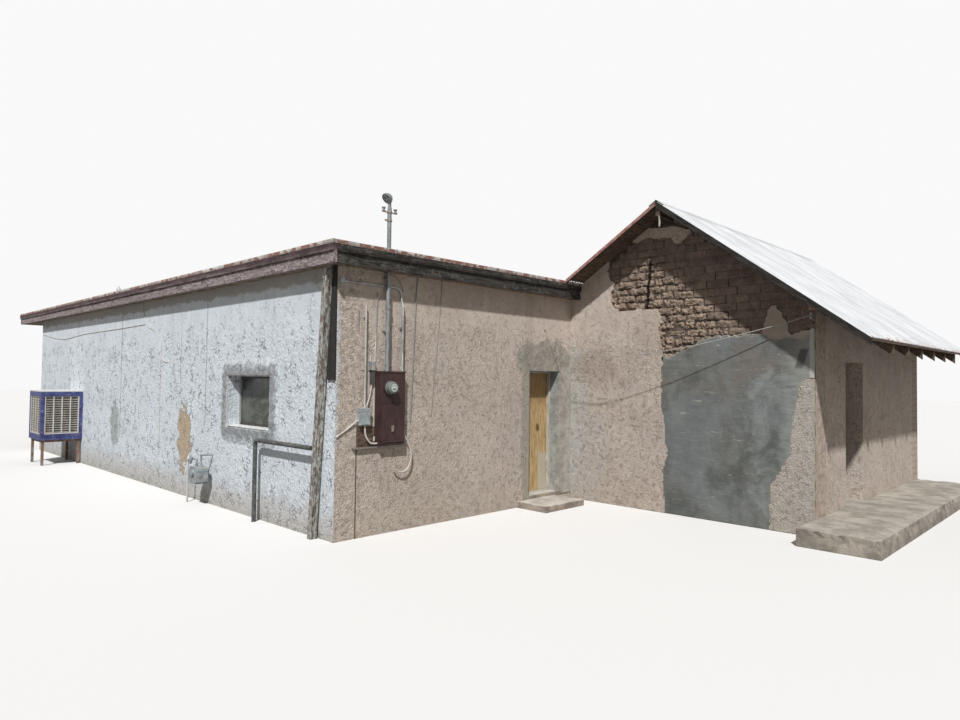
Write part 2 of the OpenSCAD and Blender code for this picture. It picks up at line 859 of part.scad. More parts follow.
module leaf_hinges() {
    third = hinge_l / 3;
    tab = knuckle_r + 2;
    color("dimgray") house() for (z = hinge_zs) union() {
        hinge_half(-1, z - third / 2 + pin_gap, z + third / 2 - pin_gap);
        translate([leaf_x - hinge_plate_t, pivot_y - tab - hinge_plate_w, z - hinge_l / 2])
            cube([hinge_plate_t, hinge_plate_w, hinge_l]);
    }
}

module frame_hinges() {
    third = hinge_l / 3;
    tab = knuckle_r + 2;
    color("dimgray") house() for (z = hinge_zs) union() {
        hinge_half(1, z - hinge_l / 2, z - third / 2);
        hinge_half(1, z + third / 2, z + hinge_l / 2);
        translate([leaf_x - hinge_plate_t, pivot_y + tab, z - hinge_l / 2])
            cube([hinge_plate_t, frame_t - tab + leaf_gap / 2, hinge_l]);
        translate([pivot_x, pivot_y, z - hinge_l / 2]) cylinder(r = pin_r, h = hinge_l);
        translate([pivot_x, pivot_y, z - hinge_l / 2]) cylinder(r = pin_r + 2, h = third / 2);
        translate([pivot_x, pivot_y, z + hinge_l / 2 - third / 2]) cylinder(r = pin_r + 2, h = third / 2);
    }
}

// Window with one fixed light
module window_frame() {
    x0 = -window_x - window_w;
    z0 = window_sill + sill_t;
    z1 = window_sill + window_h;
    color("silver") house() difference() {
        block([x0, window_in - sash_t, z0], [-window_x, window_in, z1]);
        block([x0 + sash_w, window_in - sash_t - eps, z0 + sash_w],
            [-window_x - sash_w, window_in + eps, z1 - sash_w]);
    }
}

module window_glass() {
    z0 = window_sill + sill_t + sash_w;
    y0 = window_in - sash_t / 2;
    color("lightblue", 0.4) house()
        block([-window_x - window_w + sash_w, y0, z0],
            [-window_x - sash_w, y0 + glass_t, window_sill + window_h - sash_w]);
}

// Electrical service on the end wall
panel_y = mast_y + panel_shift;
panel_top = panel_z + panel_h;
meter_y = panel_y - meter_shift;
meter_z = panel_top - meter_drop;
lid_t = 6;
flex_x = 60;
flex_z = panel_z + 115;

// Strap that holds a conduit off the wall
module strap(x, y, z, r) {
    block([0, y - r - 22, z], [4, y + r + 22, z + 22]);
    block([0, y - r - 4, z], [x, y + r + 4, z + 22]);
}

// Hood of the mast, a bell with its mouth to the front and down, closed by a plate with three holes
module hood() {
    translate([mast_x, mast_y - 38, mast_top + 8]) rotate([-48, 0, 0]) {
        rotate_extrude() polygon([
            [0, 58], [30, 54], [54, 40], [70, 16], [76, -18], [70, -18], [64, 12], [48, 32], [26, 44], [0, 48]
        ]);
        translate([0, 0, -10]) difference() {
            cylinder(r = 71, h = 12);
            for (a = [90, 210, 330]) rotate([0, 0, a]) translate([34, 0, -eps]) cylinder(r = 12, h = 14);
        }
    }
}

module mast() {
    neck_h = 110;
    joint_z = panel_top + (mast_top - panel_top) * 0.36;
    color("silver") house() union() {
        translate([mast_x, mast_y, panel_top]) cylinder(r = mast_r, h = mast_top - panel_top - neck_h);
        translate([mast_x, mast_y, panel_top]) cylinder(r = mast_r + 8, h = 26);
        translate([mast_x, mast_y, joint_z]) cylinder(r = mast_r + 6, h = 60);
        translate([mast_x, mast_y, mast_top - neck_h - eps]) cylinder(r = mast_r - 6, h = neck_h + eps);
        for (z = [joint_z - 300, joint_z + 400]) strap(mast_x, mast_y, z, mast_r);
        hood();
    }
}

module meter_panel() {
    side0 = panel_y - panel_w / 2;
    side1 = panel_y + panel_w / 2;
    color("maroon") house() difference() {
        union() {
            block([0, side0, panel_z], [panel_d - lid_t, side1, panel_top]);
            block([panel_d - lid_t - eps, side0 + lid_t, panel_z + 60],
                [panel_d, side1 - lid_t, panel_top - lid_t]);
            block([panel_d - lid_t - eps, side0 - lid_t, panel_top - 18],
                [panel_d + 8, side1 + lid_t, panel_top]);
            block([panel_d - eps, side1 - 46, panel_z + 250], [panel_d + 10, side1 - 26, panel_z + 300]);
            translate([panel_d - eps, meter_y, meter_z]) rotate([0, 90, 0])
                cylinder(r = meter_r + 12, h = 26);
            translate([flex_x, side1 - eps, flex_z]) rotate([-90, 0, 0]) cylinder(r = 15, h = 14 + eps);
        }
        translate([panel_d + 5, meter_y, meter_z]) rotate([0, 90, 0]) cylinder(r = meter_r, h = 50);
        block([panel_d - lid_t - 4, panel_y - 2, panel_z + 60 - eps],
            [panel_d + eps, panel_y + 2, meter_z - meter_r - 60]);
    }
}

// Glass meter: a dome over a dial plate that shows through it
module meter_glass() {
    r = meter_r - seat;
    color("lightblue", 0.5) house() translate([panel_d + 5, meter_y, meter_z]) rotate([0, 90, 0])
        rotate_extrude() polygon([
            [0, 0], [r, 0], [r, 28], [r - 5, 32], [r - 5, 84], [r - 14, 98], [r - 32, 105], [0, 107]
        ]);
}

module disconnect_box() {
    color("gray") house() union() {
        block([0, box_y, box_z], [box_d - 6, box_y + box_w, box_z + box_h]);
        block([0, box_y - 5, box_z + box_h - 42], [box_d, box_y + box_w + 5, box_z + box_h + 4]);
        block([box_d - 7, box_y + 8, box_z + 8], [box_d - 2, box_y + box_w - 8, box_z + box_h - 40]);
    }
}

// A straight conduit that stands off the end wall
module conduit_up(x, y, z0, z1, r) {
    translate([x, y, z0]) cylinder(r = r, h = z1 - z0);
}

// A round bar from one point to another, with a ball at its end
module rod(a, b, r, ball) {
    d = b - a;
    translate(a) rotate([0, acos(d[2] / norm(d)), atan2(d[1], d[0])]) cylinder(r = r, h = norm(d));
    translate(b) sphere(r = ball);
}

// A tube swept along a route; no part of the route runs along side
function unit(v) = v / norm(v);
module tube(route, r, side, sides = 8) {
    last = len(route) - 1;
    heading = [for (i = [0:last]) unit(route[min(i + 1, last)] - route[max(i - 1, 0)])];
    points = [for (i = [0:last]) let (u = unit(cross(heading[i], side)), v = cross(heading[i], u))
        for (k = [0:sides - 1]) route[i] + r * (cos(360 * k / sides) * u + sin(360 * k / sides) * v)];
    ends = [[for (k = [0:sides - 1]) k], [for (k = [sides - 1:-1:0]) last * sides + k]];
    walls = [for (i = [0:last - 1]) for (k = [0:sides - 1])
        let (a = i * sides + k, b = i * sides + (k + 1) % sides) [a, a + sides, b + sides, b]];
    polyhedron(points, concat(ends, walls), convexity = 6);
}

// Points of a smooth curve through the given ones
function curve(p, steps = 4) = [for (i = [0:len(p) - 2]) for (j = [0:i == len(p) - 2 ? steps : steps - 1])
    let (t = j / steps, a = p[max(i - 1, 0)], b = p[i], c = p[i + 1], d = p[min(i + 2, len(p) - 1)])
    0.5 * (2 * b + (c - a) * t + (2 * a - 5 * b + 4 * c - d) * t * t + (3 * b - a - 3 * c + d) * t * t * t)];

white_y = panel_y + panel_w / 2 - 24;
white_x = 58;
run_x = conduit_r + 4;
pink_y = box_y + box_w * 0.56;
body_y = panel_y - panel_w / 2 - 82;

module conduits() {
    body_z = panel_top + 10;
    pink_top = wall_h - 480;
    knee_z = run_z - bend_r - 20;
    color("silver") house() {
        // From the disconnect box up the wall
        union() {
            conduit_up(40, pink_y, box_z + box_h + 4 + seat, pink_top, conduit_r);
            conduit_up(40, pink_y, box_z + box_h + 4 + seat, box_z + box_h + 34, conduit_r + 7);
            for (z = [box_z + box_h + 490, pink_top - 160]) strap(40, pink_y, z, conduit_r);
        }
        // Along the wall behind the mast, round a bend and down into the cabinet
        union() {
            block([0, 20, run_z - 32], [46, 76, run_z + 32]);
            translate([run_x, 70, run_z]) rotate([-90, 0, 0])
                cylinder(r = conduit_r, h = white_y - bend_r - 70);
            translate([run_x, white_y - bend_r, run_z - bend_r]) rotate([90, 0, 90])
                rotate_extrude(angle = 90) translate([bend_r, 0]) circle(r = conduit_r);
            rod([run_x, white_y, run_z - bend_r], [run_x, white_y, knee_z], conduit_r, conduit_r + 3);
            rod([run_x, white_y, knee_z], [white_x, white_y, knee_z - 130], conduit_r, conduit_r + 3);
            conduit_up(white_x, white_y, panel_top, knee_z - 130, conduit_r);
            conduit_up(white_x, white_y, panel_top, panel_top + 24, conduit_r + 7);
            strap(white_x, white_y, (panel_top + knee_z) / 2 + 80, conduit_r);
        }
        // Conduit body and breaker box beside the cabinet
        union() {
            block([0, body_y - 34, body_z], [50, body_y + 42, body_z + 110]);
            block([0, body_y - 10, body_z - 175], [38, body_y + 46, body_z + eps]);
        }
    }
}

module wall_cables() {
    under = wall_h - soffit_t - seat;
    left = panel_y - panel_w / 2;
    right = panel_y + panel_w / 2;
    far = -white_wall_l;
    mid = far / 2;
    box_x = 34;
    box_end = box_y + box_w - 30;
    box_top = box_z + box_h + 4 + seat;
    body_top = panel_top + 120 + seat;
    wide = [1, 0, 0];
    broad = 9 + seat;
    slim = 5 + seat;
    cord = 6 + seat;
    lead = 7 + seat;
    color("lightgray") house() {
        // Down the end wall, right of the cabinet
        tube(concat([[broad, right + 265, under]], curve([[broad, right + 265, under - 20],
            [broad, right + 238, wall_h - 340], [broad, right + 220, wall_h - 750],
            [broad, right + 194, panel_top - 90], [broad, right + 163, panel_z + 280]], 2)), 9, wide);
        tube(concat([[slim, right + 720, under]], curve([[slim, right + 720, under - 20],
            [slim, right + 659, wall_h - 814], [slim, right + 590, panel_top - 136],
            [slim, right + 551, panel_z + 350]], 2)), 5, wide);
        // From the soffit to the bend of the conduit
        tube(concat([[cord, mast_y + 60, under]], curve([[cord, mast_y + 60, under - 15],
            [cord, mast_y + 130, run_z + 150], [cord, mast_y + 210, run_z + 110],
            [cord, white_y + 14, run_z + 27], [cord, white_y + 34, run_z - 45]], 3)), 6, wide);
        // Down beside the cabinet to a connector
        tube(curve([[lead, left + 12, run_z - 95], [lead, left - 4, panel_top + 510],
            [lead, left - 20, panel_top - 10], [lead, left - 22, panel_z + 520],
            [lead, left - 18, panel_z + 130]], 2), 7, wide);
        tube([[12 + seat, left - 18, panel_z + 115], [12 + seat, left - 18, panel_z + 85],
            [12 + seat, left - 18, panel_z + 55]], 12, wide);
        // Into the conduit body
        tube(concat(curve([[lead, box_y - 4, wall_h - 540], [lead, box_y - 2, wall_h - 800],
            [lead, box_y + 36, panel_top + 340], [lead, body_y - 78, panel_top + 280],
            [lead, body_y - 12, panel_top + 210], [lead, body_y - 8, body_top + 30]], 3),
            [[lead, body_y - 8, body_top]]), 7, wide);
        // From the breaker box to the disconnect box
        tube(concat([[16, body_y + 12, panel_top - 165 - seat]], curve([[16, body_y + 12, panel_top - 185],
            [18, body_y - 14, (panel_top + box_top) / 2 - 82], [box_x, box_end, box_top + 40],
            [box_x, box_end, box_top + 15]], 3), [[box_x, box_end, box_top]]), 8, wide);
        // From the disconnect box's foot into the cabinet's side
        tube(concat([[44, box_y + 90, box_z - seat]], curve([[44, box_y + 90, box_z - 25],
            [44, box_y + 108, box_z - 140], [46, box_y + 170, panel_z + 45], [50, left - 50, panel_z + 28],
            [50, left - 20, panel_z + 26]], 4), [[50, left - seat, panel_z + 26]]), 12, wide);
        // Round the corner into the disconnect box
        tube(concat(curve([[11, 6, box_z - 138], [11, box_y * 0.47, box_z - 56], [18, box_y * 0.78, box_z + 15],
            [30, box_y - 40, box_z + 48], [30, box_y - 20, box_z + 52]], 3),
            [[30, box_y - seat, box_z + 52]]), 10, wide);
        // A loose bend of stiff flexible conduit at the cabinet's foot
        tube(concat([[flex_x, right + 14 + seat, flex_z]], curve([[flex_x, right + 24, flex_z],
            [flex_x, right + 110, flex_z - 136], [flex_x, right + 150, flex_z - 313],
            [flex_x, right + 88, flex_z - 453], [flex_x, right - 22, flex_z - 489],
            [flex_x, right - 114, flex_z - 450], [flex_x, right - 154, flex_z - 401]], 4)), 10, wide);
        // Under the eave of the white wall, and down it from the roof's edge
        tube(curve([[far + 50, -cord, wall_h - 350], [far + 1100, -cord, wall_h - 480],
            [far + 2220, -cord, wall_h - 550], [mid - 3300, -cord, wall_h - 485],
            [mid - 1000, -cord, wall_h - 465], [mid + 520, -cord, wall_h - 440]], 3), 6, [0, 1, 0]);
        tube(concat([[mid + 360, -cord, under]], curve([[mid + 360, -cord, under - 20],
            [mid + 610, -cord, wall_h - 450], [mid + 1040, -cord, wall_h - 590],
            [mid + 1330, -cord, wall_h - 786], [mid + 1350, -cord, wall_h - 1040], [mid + 1460, -cord, wall_h - 1145],
            [mid + 1700, -cord, wall_h - 1178]], 3)), 6, [0, 1, 0]);
    }
}

// Spool insulator with its bolt, upright
module spool(r, h) {
    rotate_extrude() polygon([
        [0, 0], [r, 0], [r, h * 0.22], [r * 0.62, h * 0.36], [r * 0.62, h * 0.64], [r, h * 0.78],
        [r, h], [0, h]
    ]);
}

module bracket_blank(grow = 0) {
    block([insulator[0] - 16 - grow, gable_face - 8 - grow, insulator[2] - 40 - grow],
        [insulator[0] + 16 + grow, gable_face, insulator[2] + 90 + grow]);
    block([insulator[0] - 16 - grow, insulator[1] - 34, insulator[2] - 12 - grow],
        [insulator[0] + 16 + grow, gable_face, insulator[2] + eps + grow]);
}

module cable_fittings() {
    clamp_z = mast_top - 170;
    color("dimgray") house() {
        // Clamp with two spools, and the wire grip's clamp under it
        difference() {
            union() {
                translate([mast_x, mast_y, clamp_z - 14]) cylinder(r = mast_r + 9, h = 28);
                block([mast_x - 12, mast_y - 118, clamp_z - 11], [mast_x + 12, mast_y + 118, clamp_z - 3]);
                for (y = [-96, 96]) translate([mast_x, mast_y + y, clamp_z - 4]) spool(26, 56);
            }
            translate([mast_x, mast_y, clamp_z - 60]) cylinder(r = mast_r + seat, h = 160);
        }
        difference() {
            union() {
                translate([mast_x, mast_y, clamp_z - 125]) cylinder(r = mast_r + 8, h = 26);
                block([mast_x - 8, mast_y - mast_r - 46, clamp_z - 122], [mast_x + 8, mast_y, clamp_z - 102]);
            }
            translate([mast_x, mast_y, clamp_z - 170]) cylinder(r = mast_r + seat, h = 120);
        }
        // Bracket and spool at the gable's corner
        union() {
            bracket_blank();
            translate(insulator) spool(30, 70);
        }
        // Knob in the end wall
        translate([0, cable_end[1], cable_end[2]]) rotate([0, 90, 0]) union() {
            cylinder(r = 17, h = 7);
            cylinder(r = 9, h = cable_end[0] - 4);
        }
    }
}

module gable_cable() {
    color("lightgray") house() tube(cable_route, cable_r, [0, 0, 1]);
}

// Black pipe that stands off the white wall and runs to the corner post
module wall_pipe() {
    run_end = -post_x(pipe_z - pipe_r) - post_w - seat;
    elbow = pipe_r * 1.9;
    color("black") house() union() {
        translate([-pipe_x, -pipe_out, 0]) cylinder(r = pipe_r, h = pipe_z - elbow);
        translate([-pipe_x + elbow, -pipe_out, pipe_z - elbow]) rotate([90, 0, 180])
            rotate_extrude(angle = 90) translate([elbow, 0]) circle(r = pipe_r);
        translate([-pipe_x + elbow, -pipe_out, pipe_z]) rotate([0, 90, 0])
            cylinder(r = pipe_r, h = run_end + pipe_x - elbow);
    }
}

// Gas meter on its riser, with a regulator, in front of the white wall
module gas_meter() {
    top = gas_z + gas_h;
    riser_x = -gas_x - gas_w - 280;
    in_x = -gas_x - gas_w / 2 - 80;
    out_x = -gas_x - gas_w / 2 + 80;
    line_z = top + 100;
    pipe = 14;
    color("lightsteelblue") house() union() {
        translate([-gas_x - gas_w, -gas_out + gas_d / 2, gas_z]) rotate([90, 0, 0]) linear_extrude(gas_d)
            polygon([[20, 0], [gas_w - 20, 0], [gas_w, 30], [gas_w, gas_h - 60], [gas_w - 40, gas_h],
                [40, gas_h], [0, gas_h - 60], [0, 30]]);
        translate([-gas_x - gas_w / 2, -gas_out - gas_d / 2 + eps, gas_z + gas_h * 0.62]) rotate([90, 0, 0])
            cylinder(r = 52, h = 22);
        translate([riser_x, -gas_out, 0]) cylinder(r = pipe, h = line_z);
        translate([riser_x, -gas_out, line_z]) sphere(r = pipe + 6);
        translate([riser_x, -gas_out, line_z]) rotate([0, 90, 0]) cylinder(r = pipe, h = in_x - riser_x);
        translate([in_x, -gas_out, line_z]) sphere(r = pipe + 6);
        translate([in_x, -gas_out, top - eps]) cylinder(r = pipe + 8, h = 40);
        translate([in_x, -gas_out, top]) cylinder(r = pipe, h = line_z - top);
        translate([out_x, -gas_out, top - eps]) cylinder(r = pipe + 8, h = 40);
        translate([out_x, -gas_out, top]) cylinder(r = pipe, h = 180);
        translate([out_x, -gas_out, top + 180]) sphere(r = pipe + 6);
        translate([out_x, -gas_out, top + 180]) rotate([-90, 0, 0]) cylinder(r = pipe, h = gas_out);
        translate([(riser_x + in_x) / 2, -gas_out - pipe + 6, line_z]) rotate([90, 0, 0])
            rotate_extrude() polygon([
                [0, 0], [40, 0], [46, 8], [78, 20], [82, 28], [82, 34], [78, 40], [40, 52], [22, 76], [0, 78]
            ]);
    }
}

// Evaporative cooler on its stand at the white wall
module cooler_cabinet() {
    x1 = -cooler_x;
    x0 = x1 - cooler_l;
    skin = 30;
    z0 = cooler_z + cooler_band;
    z1 = cooler_z + cooler_h - cooler_band;
    color("royalblue") house() difference() {
        block([x0, -cooler_d, cooler_z], [x1, 0, cooler_z + cooler_h]);
        block([x0 + skin, -cooler_d + skin, cooler_z + 90], [x1 - skin, -skin, cooler_z + cooler_h - skin]);
        block([x0 - eps, -cooler_d + cooler_post, z0], [x1 + eps, -cooler_post, z1]);
        block([x0 + cooler_post, -cooler_d - eps, z0], [x1 - cooler_post, -cooler_d / 2, z1]);
        block([x0 - eps, -cooler_d - eps, cooler_z + 60], [x0 + 4, eps, cooler_z + 66]);
        block([x1 - 4, -cooler_d - eps, cooler_z + 60], [x1 + eps, eps, cooler_z + 66]);
        block([x0 - eps, -cooler_d - eps, cooler_z + 60], [x1 + eps, -cooler_d + 4, cooler_z + 66]);
    }
}

// A louvred panel w wide and h high, in X and Z, with its face at Y = 0
module louvre_panel(w, h) {
    deep = 24;
    pitch = (w - louvre_bar) / louvre_columns;
    count = floor((h - 2 * louvre_bar) / louvre_step);
    union() {
        for (i = [0:louvre_columns]) block([i * pitch, 0, 0], [i * pitch + louvre_bar, deep, h]);
        block([0, 0, 0], [w, deep, louvre_bar]);
        block([0, 0, h - louvre_bar], [w, deep, h]);
        for (j = [0:count - 1]) translate([2, 3, louvre_bar + 6 + j * louvre_step]) rotate([-32, 0, 0])
            cube([w - 4, 2.5, 38]);
    }
}

module cooler_louvres() {
    x1 = -cooler_x;
    x0 = x1 - cooler_l;
    inset = 6;
    h = cooler_h - 2 * cooler_band;
    z0 = cooler_z + cooler_band;
    across = cooler_d - 2 * cooler_post;
    color("whitesmoke") house() {
        translate([x0 + cooler_post, -cooler_d + inset, z0]) louvre_panel(cooler_l - 2 * cooler_post, h);
        translate([x1 - inset, -cooler_d + cooler_post, z0]) rotate([0, 0, 90]) louvre_panel(across, h);
        translate([x0 + inset, -cooler_post, z0]) rotate([0, 0, -90]) louvre_panel(across, h);
    }
}

module cooler_stand() {
    x1 = -cooler_x;
    x0 = x1 - cooler_l;
    leg = 50;
    color("dimgray") house() union() {
        for (x = [x0 + 40, x1 - 40 - leg]) {
            for (y = [-cooler_d + 40, -40 - leg]) block([x, y, 0], [x + leg, y + leg, cooler_z]);
            block([x, -cooler_d + 40, cooler_z - leg], [x + leg, -40, cooler_z]);
        }
        for (y = [-cooler_d + 40, -40 - leg])
            block([x0 + 40, y, cooler_z - leg], [x1 - 40, y + leg, cooler_z]);
    }
}

// Distance of the leaning post's near edge from the outer corner, at height z
post_z1 = wall_h - soffit_t;
function post_x(z) = post_foot + (post_head - post_foot) * z / post_z1;

// Leaning timber post at the near outer corner, and the dark board beside it
module corner_post() {
    color("lightgray") house() {
        along_y([
            [-post_foot - post_w, 0], [-post_foot, 0], [-post_head, post_z1], [-post_head - post_w, post_z1]
        ], -post_w - corner_board_t, -corner_board_t);
        block([-corner_board_w, -corner_board_t + seat, corner_board_z], [0, 0, post_z1]);
    }
}

front_wall();
recess_side_wall();
recess_wall();
far_end_wall();
back_wall();
end_wall_pier();
end_wall_lintel();
corner_pier();
shared_wall();
gable_wall();
gable_back_wall();
east_wall_near();
east_wall_lintel();
east_wall_far();
gable_stucco();
gable_cement();
ridge_plaster();
door_surround();
window_surround();
wing_floor();
gable_floor();
door_step();
porch_slab();
roof_beams();
roof_deck();
roof_covering();
eave_soffit();
fascia_front();
fascia_end();
fascia_back();
gable_rafters();
ridge_board();
roof_boards_east();
roof_boards_west();
roof_sheet_east();
roof_sheet_west();
ridge_cap();
rake_boards();
door_frame();
door_leaf();
door_knob();
frame_hinges();
leaf_hinges();
window_frame();
window_glass();
mast();
meter_panel();
meter_glass();
disconnect_box();
conduits();
wall_cables();
cable_fittings();
gable_cable();
wall_pipe();
gas_meter();
cooler_cabinet();
cooler_louvres();
cooler_stand();
corner_post();
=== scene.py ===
import math
import random
from types import SimpleNamespace

import bpy
from mathutils import Matrix, Vector, noise


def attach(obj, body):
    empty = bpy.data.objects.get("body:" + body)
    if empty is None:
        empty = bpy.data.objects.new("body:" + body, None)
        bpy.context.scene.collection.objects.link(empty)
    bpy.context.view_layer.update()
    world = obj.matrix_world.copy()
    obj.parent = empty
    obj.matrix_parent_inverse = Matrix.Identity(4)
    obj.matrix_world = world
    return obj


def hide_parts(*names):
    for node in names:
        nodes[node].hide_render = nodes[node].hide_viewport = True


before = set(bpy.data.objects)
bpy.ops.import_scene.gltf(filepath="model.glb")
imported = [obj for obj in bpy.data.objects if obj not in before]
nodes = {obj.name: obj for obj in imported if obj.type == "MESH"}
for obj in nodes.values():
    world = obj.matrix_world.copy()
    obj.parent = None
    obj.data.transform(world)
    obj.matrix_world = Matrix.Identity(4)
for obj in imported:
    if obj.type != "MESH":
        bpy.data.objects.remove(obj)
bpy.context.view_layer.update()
chance = random.Random(26)
noise.seed_set(5)


# Camera: at a visitor's eye height, off the house's near corner. Every place in this file is
# measured from that corner, in metres: along the white wall is -x, along the end wall is +y.
near_corner = Vector((5.2875, -5.035, 0.0))


def at(x, y, z):
    return near_corner + Vector((x, y, z))


def new_object(name, data):
    made = bpy.data.objects.new(name, data)
    bpy.context.scene.collection.objects.link(made)
    return made


def turned(degrees, axis):
    return Matrix.Rotation(math.radians(degrees), 4, axis)


lens = bpy.data.cameras.new("camera")
lens.lens = 25.394
lens.clip_end = 300.0
camera = new_object("camera", lens)
yaw, pitch, roll = 44.5085, 1.595, 0.6802
eye = Matrix.Translation(at(7.1279, -4.7197, 2.0343))
camera.matrix_world = eye @ turned(yaw, "Z") @ turned(90 + pitch, "X") @ turned(roll, "Z")
bpy.context.scene.camera = camera


# Short names for shader nodes. They all go into the material or shared effect in hand, and "now"
# holds its nodes, its place and its colour so far.
now = SimpleNamespace()


def join(value, socket):
    if isinstance(value, bpy.types.NodeSocket):
        now.tree.links.new(value, socket)
    elif socket.type == "RGBA":
        socket.default_value = (*value[:3], 1.0)
    else:
        socket.default_value = value


def put(kind, sockets=(), **settings):
    made = now.tree.nodes.new("ShaderNode" + kind)
    for key, value in settings.items():
        setattr(made, key, value)
    for key, value in dict(sockets).items():
        join(value, made.inputs[key])
    return made


def calc(operation, *values, clamp=False):
    return put("Math", enumerate(values), operation=operation, use_clamp=clamp).outputs[0]


def times(total, *values):
    for value in values:
        total = calc("MULTIPLY", total, value)
    return total


def plus(one, other):
    return calc("ADD", one, other)


def less(one, other):
    return calc("SUBTRACT", one, other)


def spread(value, low, high, to_low=0.0, to_high=1.0):
    sockets = {"Value": value, "From Min": low, "From Max": high, "To Min": to_low, "To Max": to_high}
    return put("MapRange", sockets, interpolation_type="SMOOTHSTEP").outputs[0]


def fade(value, low, high):
    return spread(value, low, high, 1.0, 0.0)


def sheen(value, smooth, rough):
    return spread(value, 0.3, 0.7, smooth, rough)


def tint(amount, under, over):
    return put("Mix", {0: amount, 6: under, 7: over}, data_type="RGBA").outputs[2]


def shades(value, under, over, low=0.36, high=0.64):
    return tint(spread(value, low, high), under, over)


def paint(mask, over, share=None):
    mask = mask if share is None else times(mask, share)
    now.colour = tint(mask, now.colour, over)


def axes(place=None):
    return put("SeparateXYZ", {0: place or now.place}).outputs


def drawn(stretch):
    return put("Mapping", {"Vector": now.place, "Scale": stretch}).outputs[0]


def cloud(scale, detail=4.0, rough=0.55, stretch=None, bend=0.0, place=None):
    place = drawn(stretch) if stretch else place or now.place
    sockets = {"Vector": place, "Scale": scale, "Detail": detail, "Roughness": rough, "Distortion": bend}
    return put("TexNoise", sockets).outputs[0]


def start(name):
    now.material = bpy.data.materials.new(name)
    now.material.use_nodes = True
    now.tree = now.material.node_tree
    now.tree.nodes.clear()
    now.shader = put("BsdfPrincipled")
    put("OutputMaterial", {"Surface": now.shader.outputs[0]})
    now.place = put("TexCoord").outputs["Object"]
    return now.material


def finish(rough=None, height=None, depth=0.0, **others):
    others["Base_Color"] = now.colour
    if rough is not None:
        others["Roughness"] = rough
    if height is not None:
        others["Normal"] = put("Bump", {"Height": height, "Distance": depth, "Strength": 1.0}).outputs[0]
    for key, value in others.items():
        join(value, now.shader.inputs[key.replace("_", " ")])


def dress(*names):
    for name in names:
        nodes[name].data.materials.clear()
        nodes[name].data.materials.append(now.material)


def new_group(name, *inputs):
    group = now.tree = bpy.data.node_groups.new(name, "ShaderNodeTree")
    group.interface.new_socket("Place", in_out="INPUT", socket_type="NodeSocketVector")
    for label in inputs:
        group.interface.new_socket(label, in_out="INPUT", socket_type="NodeSocketFloat")
    given = group.nodes.new("NodeGroupInput").outputs
    now.place = given["Place"]
    return group, given


def send(**values):
    for label in values:
        now.tree.interface.new_socket(label, in_out="OUTPUT", socket_type="NodeSocketFloat")
    sockets = now.tree.nodes.new("NodeGroupOutput").inputs
    for label, value in values.items():
        join(value, sockets[label])


def use(group, **sockets):
    return put("Group", {"Place": now.place, **sockets}, node_tree=group).outputs


def dusty(amount, clean, dirty):
    grime = use(dust, Amount=amount)
    now.colour = tint(grime["Mask"], clean, dirty)
    return grime["Height"]


# Dust of many storms, an effect that many of the materials share.
dust, given = new_group("dust", "Amount")
coarse = cloud(9.0, 6.0, 0.65)
fine = cloud(140.0, 4.0, 0.6)
both = plus(times(coarse, 0.7), times(fine, 0.3))
send(Mask=times(spread(both, 0.4, 0.66), given["Amount"]), Height=both)


# Strung cable: a grey sheathed service cable, from the insulator at the gable's corner across
# to the knob over the front door. It sags under its weight. The route repeats the solid's:
# fractions of the way, each with its drop.
cable_radius = 0.006
cable_start = at(3.955, 4.737, 2.9304)
cable_end = at(0.018, 4.062, 2.852)
cable_drops = [
    (0, 0), (0.014, 0.017), (0.065, 0.077), (0.141, 0.147), (0.217, 0.213), (0.293, 0.277),
    (0.37, 0.335), (0.446, 0.385), (0.522, 0.423), (0.598, 0.451), (0.674, 0.469),
    (0.738, 0.460), (0.789, 0.418), (0.839, 0.347), (0.89, 0.257), (0.941, 0.151),
    (0.977, 0.062), (1, 0),
]
cable_points = [cable_start.lerp(cable_end, part) - Vector((0, 0, drop)) for part, drop in cable_drops]
line = bpy.data.curves.new("gable_cable", "CURVE")
line.dimensions = "3D"
line.bevel_depth = cable_radius
line.bevel_resolution = 3
line.use_fill_caps = True
run = line.splines.new("POLY")
run.points.add(len(cable_points) - 1)
for point, place in zip(run.points, cable_points):
    point.co = (*place, 1.0)
strung_cable = new_object("strung_cable", line)
start("cable_sheath")
film = dusty(0.8, (0.34, 0.34, 0.33), (0.42, 0.36, 0.29))
finish(0.72, film, 0.001)
line.materials.append(now.material)
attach(strung_cable, "root")
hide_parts("gable_cable")


# Cables clipped to the walls: the same sheath, paler where the white wall's paint went over it,
# with the dirt of years of dust storms. On the end wall the pale runs are painted grey above the
# eave's shade line.
start("clipped_cable")
grime = use(dust, Amount=0.9)
x, y, z = axes()
street_side = fade(y, -5.045, -5.037)
now.colour = tint(street_side, (0.24, 0.245, 0.24), (0.64, 0.62, 0.57))
# Runs on the end wall are pale only below about 2.6 m; above it they are painted grey as the eave's shade.
low_down = calc("MAXIMUM", fade(z, 1.4, 1.42), fade(y, -4.43, -4.42))
paint(low_down, (0.62, 0.59, 0.54), fade(z, 2.55, 2.65))
now.colour = tint(times(grime["Mask"], 0.6), now.colour, (0.36, 0.29, 0.22))
finish(0.75, grime["Height"], 0.0015)
dress("wall_cables")


# White street wall: adobe under a coarse trowelled lime coat, painted white many times. Lips and
# cracks between trowel strokes hold dark dust, darkened further as painted shade; rain has drawn
# lines down from the roof.
def within(value, middle, half, soft):
    return fade(calc("ABSOLUTE", less(value, middle)), half - soft, half + soft)


def vector(operation, *values):
    return put("VectorMath", enumerate(values), operation=operation).outputs


def blot(centre, reach, ragged=0.5, scale=6.0):
    away = vector("DIVIDE", vector("SUBTRACT", now.place, centre)[0], reach)[0]
    wander = less(cloud(scale, 6.0, 0.65), 0.5)
    away = plus(vector("LENGTH", away)[1], times(wander, ragged * 4.0))
    return fade(away, 0.8, 1.0)


